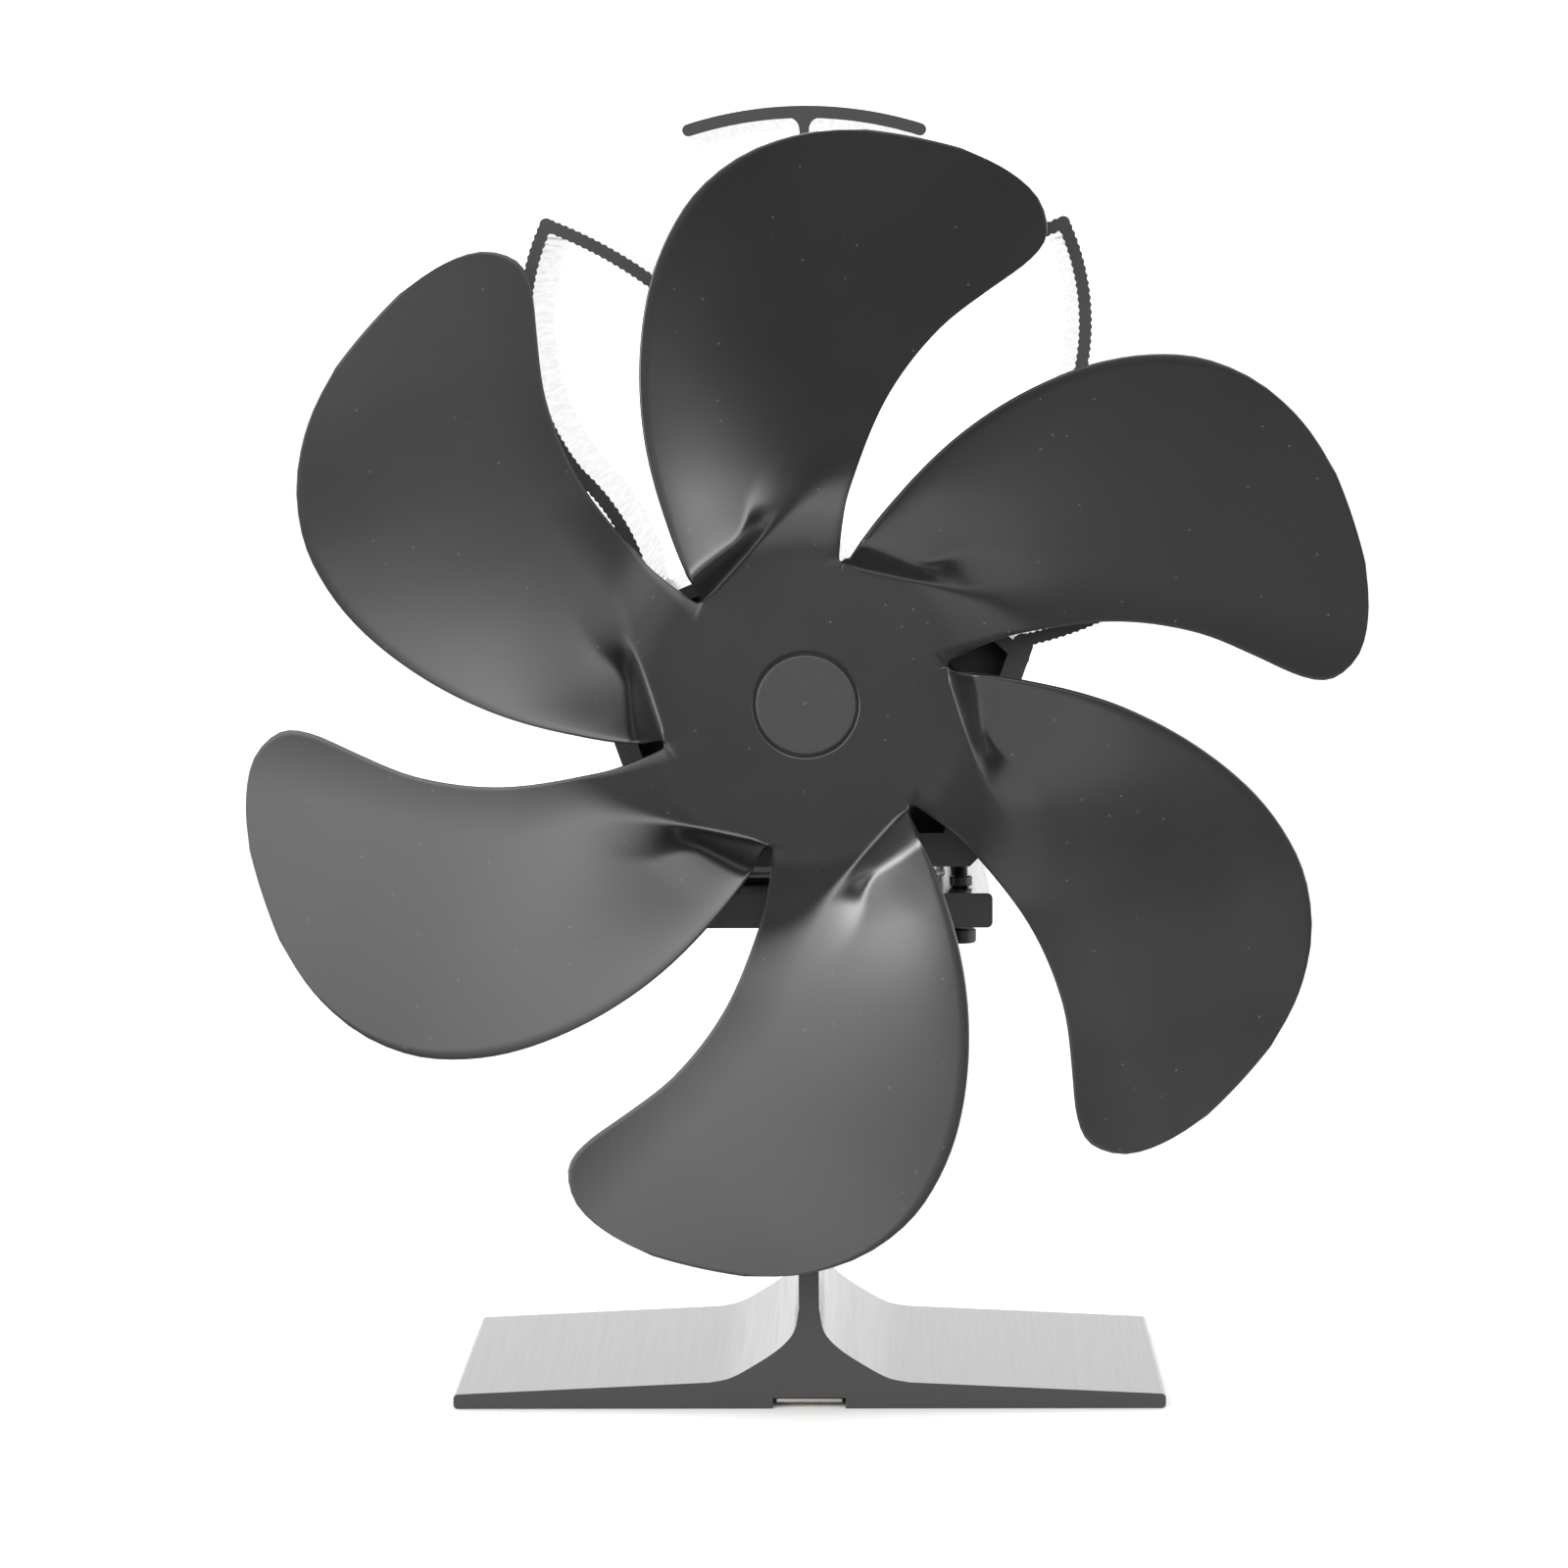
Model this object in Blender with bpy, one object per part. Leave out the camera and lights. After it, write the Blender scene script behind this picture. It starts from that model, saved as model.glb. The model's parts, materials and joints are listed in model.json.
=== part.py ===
"""Stove fan that the heat of a stove drives, at its real size.

A finned aluminium body stands on a wide foot. A thermoelectric module is clamped between the hot plate
on top of the foot's stem and the cooler fins above it, and its current turns a small motor with a
six-bladed sheet wheel. Lengths are in metres: X runs to the right, Y to the back and Z up. The origin
lies on the standing surface, under the middle of the whole fan.
"""
import math

import bmesh
import bpy
from mathutils import Matrix, Vector

# Clearances and finish of the model
seat_gap = 0.0003
running_gap = 0.00008
overrun = 0.001
round_steps = 24
small_round_steps = 16
bend_steps = 4

# Both extrusions
body_depth = 0.075

# Lower extrusion: foot, stem and hot plate
foot_width = 0.126
foot_edge_thickness = 0.0026
foot_edge_round = 0.0008
foot_root_thickness = 0.0047
stem_thickness = 0.00355
flare_width = 0.0159
flare_height = 0.0132
flare_shares = [(1.0, 0.0), (0.78, 0.055), (0.56, 0.19), (0.23, 0.45), (0.06, 0.68), (0.0, 1.0)]
hot_plate_overhang = 0.0023
hot_plate_thickness = 0.0061
hot_plate_top = 0.0916
hot_plate_round = 0.001
stem_top_round = 0.0015
groove_width = 0.0129
groove_depth = 0.0019

# Gap between the hot plate and the flange of the heat sink
module_gap = 0.0047

# Upper extrusion: flange, cup, leaves, stem and handle; each rise is above the flange's underside. The
# flange is as wide as the module, the leads beside it and the clamp screws need
axis_rise = 0.0293
flange_ledge = 0.0046
flange_thickness = 0.0059
flange_chamfer = 0.0017
cup_top_half_width = 0.0378
cup_wall_height = 0.0331
cup_wall_thickness = 0.0038
roof_rise = 0.0523
roof_radius = 0.0532
fin_thickness = 0.0024
ear_root_rise = 0.0683
ear_peak_half_span = 0.0449
ear_peak_rise = 0.1122
ear_top_radius = 0.0789
ear_side_radius = 0.0412
ear_side_foot_share = 0.36
shoulder_root_half_span = 0.0273
shoulder_radius = 0.0383
wing_peak_half_span = 0.0823
wing_peak_rise = 0.0750
wing_root_shift = 0.0008
wing_under_radius = 0.0622
handle_rise = 0.1326
handle_thickness = 0.00215
handle_half_span = 0.0201
handle_radius = 0.0670
handle_stem_thickness = 0.0017
handle_stem_fillet = 0.0020
arc_steps = 12
shoulder_steps = 16

# Thermoelectric module between graphite pads
module_width = 0.040
pad_thickness = 0.0003
ceramic_thickness = 0.00065
seal_width = 0.0012
seal_inset = 0.0003
pellet_rows = 7
pellet_width = 0.0024
strip_layer = 0.0003

# Clamp screws that draw the heat sink down on the module
clamp_edge_distance = 0.0031
clamp_end_distance = 0.0105
clamp_shank_radius = 0.00125
clamp_head_radius = 0.0027
clamp_head_height = 0.0024
clamp_socket_radius = 0.0013
clamp_socket_depth = 0.0014
clamp_hole_depth = 0.0047
spring_washer_radius = 0.0024
spring_washer_thickness = 0.0008
insulator_radius = 0.0020
insulator_height = 0.0016

# Bracket in the cup and its screws
bracket_inset = 0.008
bracket_thickness = 0.0015
bracket_tab_length = 0.009
bracket_tab_half_width = 0.012
bracket_clearance = 0.0005
bracket_screw_half_span = 0.008
bracket_screw_radius = 0.00125
bracket_screw_head_radius = 0.0024
bracket_screw_head_height = 0.0016
bracket_screw_depth = 0.0045
motor_screw_pitch_radius = 0.0095
motor_screw_radius = 0.001
motor_screw_head_radius = 0.0021
motor_screw_head_height = 0.0014

# Motor
can_radius = 0.016
can_length = 0.022
can_wall = 0.001
can_edge_round = 0.0012
boss_radius = 0.004
boss_length = 0.0018
bush_radius = 0.0030
bush_length = 0.003
shaft_radius = 0.001
magnet_thickness = 0.0024
magnet_length = 0.014
magnet_half_angle = math.radians(62)
air_gap = 0.0008
winding_clearance = 0.0006
core_hub_radius = 0.0034
pole_head_thickness = 0.0022
pole_half_angle = math.radians(50)
pole_neck_half_width = 0.0020
winding_thickness = 0.0018
winding_inner_radius = 0.0048
commutator_radius = 0.0032
commutator_length = 0.004
end_cap_thickness = 0.002
end_cap_boss_radius = 0.0046
end_cap_boss_length = 0.0022
brush_width = 0.0026
brush_length = 0.0022
brush_arm_thickness = 0.0006
brush_reach = 0.0027
terminal_half_span = 0.010
terminal_width = 0.0026
terminal_thickness = 0.0005
terminal_length = 0.004

# Fan wheel, pressed from one sheet, and its hub
fan_radius = 0.0996
hub_offset = 0.010
sheet_thickness = 0.0009
blade_count = 6
hub_corner_radius = 0.0254
hub_corner_angle = math.radians(134.9)
wheel_hole_radius = 0.0092
blade_reach = 0.0108
crease_angle = math.radians(46.8)
root_run = 0.0205
wall_slope = 1.9
bend_softness = 0.0006
widest_breadth = 0.0495
breadth_run = 0.050
breadth_power = 2.4
# Places between the hub's corners and the tips, as shares of the way out, with the angles in degrees of
# the convex and the concave edge of the top blade
edge_shares = [
    (0.011, 132.9, 77.4), (0.121, 128.7, 78.5), (0.211, 125.5, 77.7), (0.395, 119.9, 75.0),
    (0.579, 113.9, 70.4), (0.717, 109.0, 65.8), (0.809, 105.0, 63.2), (0.878, 101.2, 62.6),
    (0.936, 96.4, 64.3), (0.966, 92.4, 66.6), (0.985, 88.4, 70.0), (0.996, 83.9, 74.0),
]
row_shares = [
    0.011, 0.03, 0.05, 0.075, 0.105, 0.14, 0.19, 0.26, 0.36, 0.477, 0.597, 0.711, 0.805, 0.879, 0.933,
    0.968, 0.987, 0.996,
]
# Lift of the sheet along the crease: place as above and share of the blades' reach
lift_shares = [(0.0, 0.0), (0.062, -0.055), (0.17, -0.11), (0.36, -0.05), (0.63, 0.055), (1.0, 0.165)]
concave_columns = 4
convex_columns = 7
narrowest_share = 0.12
smallest_share = 0.001
thickest_share = 2.4
collar_flange_radius = 0.013
collar_flange_thickness = 0.0012
collar_spigot_radius = 0.0085
collar_spigot_length = 0.0008
collar_neck_radius = 0.0045
collar_neck_length = 0.008
set_screw_radius = 0.0012
set_screw_setback = 0.0045
cap_radius = 0.0087
cap_thickness = 0.0006
cap_edge_round = 0.00025
cap_proud = 0.0004
cap_stub_radius = 0.0025
cap_stub_length = 0.0016
thrust_washer_radius = 0.0022
thrust_washer_thickness = 0.0003

# Bimetal strip in the groove under the foot
strip_width = 0.0117
strip_thickness = 0.0007
strip_setback = 0.001
strip_rear_setback = 0.012
strip_tail = 0.0030
strip_hole_radius = 0.0015
rivet_radius = 0.001
rivet_head_radius = 0.0024
rivet_head_thickness = 0.00045
rivet_depth = 0.0042

# Leads from the module to the motor
lead_diameter = 0.0013
lead_rear_reach = 0.0033
lead_module_gap = 0.00305
lead_insulator_gap = 0.00075
lead_stub_length = 0.0045
lead_loop_radius = 0.0031
lead_bend_radius = 0.0029
lead_cup_height = 0.004
lead_cup_shares = [(0.12, 0.2, 0.05), (0.35, 0.45, 0.2), (0.65, 0.7, 0.5), (0.88, 0.88, 0.85)]

# Places that follow from the sizes above
front_face = (hub_offset + blade_reach - body_depth - lead_rear_reach) / 2
rear_face = front_face + body_depth
body_middle = (front_face + rear_face) / 2
flange_bottom = hot_plate_top + module_gap
flange_top = flange_bottom + flange_thickness
axis_height = flange_bottom + axis_rise
roof_height = flange_bottom + roof_rise
cup_wall_top = flange_top + cup_wall_height
handle_top = flange_bottom + handle_rise
lead_rear_half_span = module_width / 2 + lead_module_gap + lead_diameter / 2
lead_exit_half_span = lead_rear_half_span - 2 * lead_loop_radius
clamp_half_span = lead_rear_half_span + lead_diameter / 2 + lead_insulator_gap + insulator_radius
flange_width = 2 * (clamp_half_span + clamp_edge_distance)
hot_plate_width = flange_width + 2 * hot_plate_overhang
cup_floor_half_width = flange_width / 2 - flange_ledge
clamp_half_depth = body_depth / 2 - clamp_end_distance
strip_length = body_depth - strip_setback - strip_rear_setback
hot_plate_bottom = hot_plate_top - hot_plate_thickness
module_front = body_middle - module_width / 2
bracket_front = front_face + bracket_inset
bracket_back = bracket_front + bracket_thickness
motor_front = bracket_back + seat_gap
core_start = can_wall + winding_clearance + winding_thickness + seat_gap
rear_washer_start = can_length - end_cap_thickness - thrust_washer_thickness
commutator_start = rear_washer_start - seat_gap - commutator_length
core_length = commutator_start - core_start - winding_thickness - winding_clearance - seat_gap
core_radius = can_radius - can_wall - seat_gap - magnet_thickness - air_gap
brush_arm_offset = commutator_radius + seat_gap + brush_reach
hub_front = front_face - hub_offset
hub_back = hub_front + sheet_thickness
pi = math.pi


# Small tools for shapes


def clear_scene():
    """Start from an empty scene."""
    for thing in list(bpy.data.objects):
        bpy.data.objects.remove(thing, do_unlink=True)


def finish(name, colour, roughness, metallic):
    """Principled material with one colour."""
    made = bpy.data.materials.new(name)
    made.use_nodes = True
    shader = made.node_tree.nodes["Principled BSDF"]
    shader.inputs["Base Color"].default_value = (*colour, 1.0)
    shader.inputs["Roughness"].default_value = roughness
    shader.inputs["Metallic"].default_value = metallic
    return made


def place(name, shape, material=None, parent=None, at=(0.0, 0.0, 0.0)):
    """Make an object of a shape and put its origin at a point."""
    mesh = bpy.data.meshes.new(name)
    shape.to_mesh(mesh)
    shape.free()
    thing = bpy.data.objects.new(name, mesh)
    bpy.context.scene.collection.objects.link(thing)
    thing.location = at
    if material:
        mesh.materials.append(material)
        mesh.shade_smooth()
        mesh.set_sharp_from_angle(angle=math.radians(30))
    if parent:
        thing.parent = parent
        thing.location = Vector(at) - parent.location
    return thing


def moved(shape, offset):
    """The same shape, shifted."""
    bmesh.ops.translate(shape, verts=shape.verts, vec=Vector(offset))
    return shape


def rotated(shape, angle, axis):
    """The same shape, turned about an axis through its origin."""
    bmesh.ops.rotate(shape, verts=shape.verts, cent=(0, 0, 0), matrix=Matrix.Rotation(angle, 3, axis))
    return shape


def prism(outline, front, back):
    """Solid with an outline in X and Z that runs along Y."""
    shape = bmesh.new()
    corners = [shape.verts.new((x, front, z)) for x, z in outline]
    face = shape.faces.new(corners)
    grown = bmesh.ops.extrude_face_region(shape, geom=[face])
    far = [item for item in grown["geom"] if isinstance(item, bmesh.types.BMVert)]
    bmesh.ops.translate(shape, verts=far, vec=(0, back - front, 0))
    bmesh.ops.recalc_face_normals(shape, faces=shape.faces)
    return shape


def block(low, high):
    """Box between two corners."""
    outline = [(low[0], low[2]), (high[0], low[2]), (high[0], high[2]), (low[0], high[2])]
    return prism(outline, low[1], high[1])


def turned(profile, steps=round_steps, closed=False):
    """Solid turned about Z from a profile of radius and height; a closed profile makes a ring."""
    shape = bmesh.new()
    points = [shape.verts.new((radius, 0, height)) for radius, height in profile]
    edges = [shape.edges.new(pair) for pair in zip(points, points[1:])]
    if closed:
        edges.append(shape.edges.new((points[-1], points[0])))
    bmesh.ops.spin(
        shape,
        geom=points + edges,
        cent=(0, 0, 0),
        axis=(0, 0, 1),
        angle=2 * pi,
        steps=steps,
        use_merge=True,
    )
    bmesh.ops.remove_doubles(shape, verts=shape.verts, dist=seat_gap / 100)
    bmesh.ops.recalc_face_normals(shape, faces=shape.faces)
    return shape


def rod(radius, low, high, steps=round_steps):
    """Plain cylinder along Z."""
    return turned([(0, low), (radius, low), (radius, high), (0, high)], steps)


def tube(inner, outer, low, high, steps=round_steps):
    """Plain ring along Z."""
    return turned([(inner, low), (outer, low), (outer, high), (inner, high)], steps, closed=True)


def laid(shape):
    """Turn what was made along Z so that it runs along Y, front to back."""
    return rotated(shape, -pi / 2, "X")


def combined(shape, tools, operation):
    """Shape after the tools are joined to it or cut from it."""
    base = place("base", shape)
    helpers = [place("tool", tool) for tool in tools]
    for helper in helpers:
        step = base.modifiers.new("step", "BOOLEAN")
        step.operation = operation
        step.solver = "EXACT"
        step.object = helper
    result = bmesh.new()
    result.from_object(base, bpy.context.evaluated_depsgraph_get())
    for used in [base, *helpers]:
        mesh = used.data
        bpy.data.objects.remove(used, do_unlink=True)
        bpy.data.meshes.remove(mesh)
    return result


def arc(start, end, radius, steps=arc_steps):
    """Points of an arc that bulges to the left of the way from start to end, or right if radius is minus."""
    start = Vector(start)
    end = Vector(end)
    side = 1 if radius > 0 else -1
    chord = end - start
    left = Vector((-chord.y, chord.x)).normalized()
    height = math.sqrt(max(radius**2 - (chord.length / 2) ** 2, 0))
    centre = (start + end) / 2 - left * height * side
    first = math.atan2(start.y - centre.y, start.x - centre.x)
    sweep = -2 * side * math.asin(min(chord.length / 2 / abs(radius), 1))
    angles = [first + sweep * step / steps for step in range(steps + 1)]
    return [centre + abs(radius) * Vector((math.cos(angle), math.sin(angle))) for angle in angles]


def ribbon(line, thickness):
    """Outline of a band of one thickness along a line of points."""
    left = []
    right = []
    for index, point in enumerate(line):
        before = line[max(index - 1, 0)]
        after = line[min(index + 1, len(line) - 1)]
        along = (after - before).normalized()
        across = Vector((-along.y, along.x)) * thickness / 2
        left.append(point + across)
        right.append(point - across)
    return right + left[::-1]


def rounded(corners, steps=bend_steps):
    """Outline through corners of x, z and radius, each rounded by its radius."""
    outline = []
    count = len(corners)
    for index, (x, z, radius) in enumerate(corners):
        corner = Vector((x, z))
        if radius == 0:
            outline.append(corner)
            continue
        back = (Vector(corners[index - 1][:2]) - corner).normalized()
        ahead = (Vector(corners[(index + 1) % count][:2]) - corner).normalized()
        half = back.angle(ahead) / 2
        reach = radius / math.tan(half)
        centre = corner + (back + ahead).normalized() * radius / math.sin(half)
        first = corner + back * reach - centre
        last = corner + ahead * reach - centre
        turn = first.angle_signed(last)
        for step in range(steps + 1):
            bent = first.copy()
            bent.rotate(Matrix.Rotation(-turn * step / steps, 2))
            outline.append(centre + bent)
    return outline


def round_part(radius, first, last, steps):
    """Points round part of a circle about the axis, between two angles."""
    angles = [first + (last - first) * step / steps for step in range(steps + 1)]
    return [Vector((radius * math.cos(angle), radius * math.sin(angle))) for angle in angles]


def mirrored(half):
    """Whole outline from its right half, which runs from the middle line up to the middle line."""
    return half + [Vector((-point[0], point[1])) for point in reversed(half)]


def smooth_value(table, spot):
    """Values of a smooth curve through a table whose rows start with their place."""
    if spot <= table[0][0]:
        return table[0][1:]
    if spot >= table[-1][0]:
        return table[-1][1:]
    index = max(number for number, row in enumerate(table) if row[0] <= spot)
    low = table[index]
    high = table[index + 1]
    span = high[0] - low[0]
    t = (spot - low[0]) / span
    before = table[max(index - 1, 0)]
    after = table[min(index + 2, len(table) - 1)]
    values = []
    for column in range(1, len(low)):
        start_slope = (high[column] - before[column]) / (high[0] - before[0])
        end_slope = (after[column] - low[column]) / (after[0] - low[0])
        value = low[column] * (2 * t**3 - 3 * t**2 + 1) + start_slope * span * (t**3 - 2 * t**2 + t)
        value += high[column] * (3 * t**2 - 2 * t**3) + end_slope * span * (t**3 - t**2)
        values.append(value)
    return tuple(values)


# Lower extrusion


def clamp_places():
    """Centres of the four clamp screws, by name."""
    places = {}
    for end_name, end in (("front", -1), ("rear", 1)):
        for side_name, side in (("left", -1), ("right", 1)):
            spot = (side * clamp_half_span, body_middle + end * clamp_half_depth, 0)
            places[f"{end_name}_{side_name}"] = spot
    return places


def rivet_place():
    """Centre of the rivet that holds the bimetal strip."""
    return (0, front_face + strip_setback + strip_length - strip_tail, 0)


def base_extrusion():
    """Foot with a groove under it, a flared stem and the hot plate, as one extruded length."""
    half = [
        Vector((groove_width / 2, groove_depth)),
        Vector((groove_width / 2, 0)),
    ]
    edge = rounded(
        [
            (0, 0, 0),
            (foot_width / 2, 0, foot_edge_round),
            (foot_width / 2, foot_edge_thickness, foot_edge_round),
            (0, foot_root_thickness, 0),
        ]
    )
    half += edge[1:-1]
    for across, up in flare_shares:
        x = stem_thickness / 2 + flare_width * across
        half.append(Vector((x, foot_root_thickness + flare_height * up)))
    plate = rounded(
        [
            (stem_thickness / 2, foot_root_thickness + flare_height, 0),
            (stem_thickness / 2, hot_plate_bottom, stem_top_round),
            (hot_plate_width / 2, hot_plate_bottom, hot_plate_round),
            (hot_plate_width / 2, hot_plate_top, hot_plate_round),
            (0, hot_plate_top, 0),
        ]
    )
    half += plate[1:-1]
    body = prism(mirrored(half), front_face, rear_face)
    hole_radius = clamp_shank_radius + seat_gap
    low = hot_plate_bottom - overrun
    high = hot_plate_top + overrun
    places = clamp_places().values()
    holes = [moved(rod(hole_radius, low, high, small_round_steps), spot) for spot in places]
    rivet_end = groove_depth + rivet_depth + seat_gap
    rivet_hole = rod(rivet_radius + seat_gap, -overrun, rivet_end, small_round_steps)
    holes.append(moved(rivet_hole, rivet_place()))
    return combined(body, holes, "DIFFERENCE")


# Upper extrusion


def fin_lines():
    """Middle lines of the curved fins on the right-hand side."""
    ear_peak = (ear_peak_half_span, flange_bottom + ear_peak_rise)
    wing_peak = (wing_peak_half_span, flange_bottom + wing_peak_rise)
    roof_centre = roof_height - roof_radius
    shoulder_root_height = roof_centre + math.sqrt(roof_radius**2 - shoulder_root_half_span**2)
    ear_top = arc((0, flange_bottom + ear_root_rise), ear_peak, ear_top_radius)
    shoulder_root = (shoulder_root_half_span, shoulder_root_height)
    shoulder = arc(shoulder_root, wing_peak, shoulder_radius, shoulder_steps)
    ear_side = arc(ear_peak, shoulder[round(shoulder_steps * ear_side_foot_share)], ear_side_radius)
    wing_root = (cup_top_half_width + wing_root_shift, cup_wall_top + wing_root_shift)
    wing_under = arc(wing_root, wing_peak, -wing_under_radius)
    return [ear_top, ear_side, shoulder, wing_under]


def capped(line, thickness):
    """Outline of a band with round ends."""
    outline = []
    for points in (line, line[::-1]):
        along = (points[-1] - points[-2]).normalized()
        side = Vector((along.y, -along.x)) * thickness / 2
        outline += ribbon(points, thickness)[: len(points)][:-1]
        for step in range(bend_steps + 1):
            bent = side.copy()
            bent.rotate(Matrix.Rotation(pi * step / bend_steps, 2))
            outline.append(points[-1] + bent)
    return outline


def heat_sink():
    """Flange, cup, four leaves, central stem and carrying handle, as one extruded length."""
    parts = []
    for line in fin_lines():
        left_line = [Vector((-point.x, point.y)) for point in line]
        parts.append(capped(line, fin_thickness))
        parts.append(capped(left_line, fin_thickness))
    cup_wall = [
        Vector((cup_floor_half_width, flange_top - overrun)),
        Vector((cup_top_half_width, cup_wall_top)),
    ]
    for side in (-1, 1):
        wall = [Vector((side * point.x, point.y)) for point in cup_wall]
        parts.append(ribbon(wall, cup_wall_thickness))
    roof_drop = roof_radius - math.sqrt(roof_radius**2 - cup_top_half_width**2)
    roof_end = roof_height - roof_drop
    roof = arc((-cup_top_half_width, roof_end), (cup_top_half_width, roof_end), roof_radius, arc_steps + 4)
    parts.append(ribbon(roof, fin_thickness))
    handle_middle = handle_top - handle_thickness / 2
    handle_drop = handle_radius - math.sqrt(handle_radius**2 - handle_half_span**2)
    handle_end = handle_middle - handle_drop
    grip = arc((-handle_half_span, handle_end), (handle_half_span, handle_end), handle_radius)
    parts.append(capped(grip, handle_thickness))
    stem_foot = roof_height - fin_thickness / 4
    half = handle_stem_thickness / 2
    wide = half + handle_stem_fillet
    under = handle_middle - handle_thickness / 4
    neck = handle_top - handle_thickness
    parts.append(
        rounded(
            [
                (-half, stem_foot, 0),
                (half, stem_foot, 0),
                (half, neck, handle_stem_fillet),
                (wide + overrun, neck, 0),
                (wide + overrun, under, 0),
                (-wide - overrun, under, 0),
                (-wide - overrun, neck, 0),
                (-half, neck, handle_stem_fillet),
            ]
        )
    )
    flange = rounded(
        [
            (-flange_width / 2 + flange_chamfer, flange_bottom, 0),
            (flange_width / 2 - flange_chamfer, flange_bottom, 0),
            (flange_width / 2, flange_bottom + flange_chamfer, 0),
            (flange_width / 2, flange_top, 0),
            (-flange_width / 2, flange_top, 0),
            (-flange_width / 2, flange_bottom + flange_chamfer, 0),
        ]
    )
    solids = [prism(part, front_face, rear_face) for part in parts]
    body = combined(prism(flange, front_face, rear_face), solids, "UNION")
    hole_radius = clamp_shank_radius + seat_gap
    low = flange_bottom - overrun
    high = flange_bottom + clamp_hole_depth
    places = clamp_places().values()
    holes = [moved(rod(hole_radius, low, high, small_round_steps), spot) for spot in places]
    tapped = rod(bracket_screw_radius + seat_gap, -bracket_screw_depth, overrun, small_round_steps)
    for x, y in bracket_screw_places().values():
        holes.append(moved(tapped.copy(), (x, y, flange_top)))
    tapped.free()
    return combined(body, holes, "DIFFERENCE")


# Thermoelectric module


def square_plate(width, low, high):
    """Square plate in the middle of the module."""
    half = width / 2
    return block((-half, body_middle - half, low), (half, body_middle + half, high))


def module_layers():
    """Heights of the layers from the hot plate up, as name, low and high."""
    core = module_gap - 2 * pad_thickness - 2 * ceramic_thickness - 6 * seat_gap
    layers = {}
    height = hot_plate_top
    for name, thickness in (
        ("hot_pad", pad_thickness),
        ("hot_ceramic", ceramic_thickness),
        ("core", core),
        ("cold_ceramic", ceramic_thickness),
        ("cold_pad", pad_thickness),
    ):
        low = height + seat_gap
        layers[name] = (low, low + thickness)
        height = low + thickness
    return layers


def module_core():
    """Semiconductor pellets in rows, held together by the thin copper strips under them."""
    low, high = module_layers()["core"]
    span = module_width - 2 * (seal_width + seal_inset) - 2 * pellet_width
    pitch = (span - pellet_width) / (pellet_rows - 1)
    gap = pitch - pellet_width
    half = span / 2
    slots = []
    for number in range(pellet_rows - 1):
        start = pellet_width + number * pitch - half
        slots.append(block((start, -half - overrun, 0), (start + gap, half + overrun, high)))
        slots.append(block((-half - overrun, start, 0), (half + overrun, start + gap, high)))
    floor = low + strip_layer
    for slot in slots:
        bmesh.ops.scale(slot, verts=slot.verts, vec=(1, 1, 2))
        moved(slot, (0, body_middle, floor))
    return combined(square_plate(span, low, high), slots, "DIFFERENCE")


def module_seal():
    """Silicone seal round the pellets."""
    low, high = module_layers()["core"]
    outer = module_width - 2 * seal_inset
    inner = outer - 2 * seal_width
    opening = square_plate(inner, low - overrun, high + overrun)
    return combined(square_plate(outer, low, high), [opening], "DIFFERENCE")


# Clamp screws


def clamp_screw():
    """Socket head under the hot plate and a shank that reaches up into the flange."""
    head_top = hot_plate_bottom - 2 * seat_gap - spring_washer_thickness
    head_bottom = head_top - clamp_head_height
    tip = flange_bottom + clamp_hole_depth - seat_gap
    profile = [
        (0, head_bottom + clamp_socket_depth),
        (clamp_socket_radius, head_bottom + clamp_socket_depth),
        (clamp_socket_radius, head_bottom),
        (clamp_head_radius, head_bottom),
        (clamp_head_radius, head_top),
        (clamp_shank_radius, head_top),
        (clamp_shank_radius, tip),
        (0, tip),
    ]
    return turned(profile, small_round_steps)


def spring_washer():
    """Washer between the screw's head and the hot plate."""
    high = hot_plate_bottom - seat_gap
    low = high - spring_washer_thickness
    return tube(clamp_shank_radius + seat_gap, spring_washer_radius, low, high, small_round_steps)


def insulator():
    """Insulating collar round the screw on top of the hot plate."""
    low = hot_plate_top + seat_gap
    high = low + insulator_height
    return tube(clamp_shank_radius + seat_gap, insulator_radius, low, high, small_round_steps)


# Bracket in the cup


def bracket_screw_places():
    """Centres of the two screws that hold the bracket down, by name."""
    y = bracket_back + bracket_tab_length / 2
    return {"left": (-bracket_screw_half_span, y), "right": (bracket_screw_half_span, y)}


def cup_inside(clearance):
    """Outline of the cup's hollow, drawn in by a clearance."""
    slope = (cup_top_half_width - cup_floor_half_width) / (cup_wall_height + overrun)
    lean = math.sqrt(1 + slope**2)
    side = (cup_wall_thickness / 2 + clearance) * lean
    low = flange_top + seat_gap
    bottom_x = cup_floor_half_width + slope * (low - flange_top + overrun) - side
    radius = roof_radius - fin_thickness / 2 - clearance
    centre = roof_height - roof_radius
    top_x = bottom_x
    for _ in range(round_steps):
        top_z = centre + math.sqrt(radius**2 - top_x**2)
        top_x = bottom_x + slope * (top_z - low)
    roof = arc((top_x, top_z), (-top_x, top_z), -radius)
    return [Vector((-bottom_x, low)), Vector((bottom_x, low)), *roof]


def motor_screw_places():
    """Places across the axis of the two screws that hold the motor to the bracket, by name."""
    return {"left": -motor_screw_pitch_radius, "right": motor_screw_pitch_radius}


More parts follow.
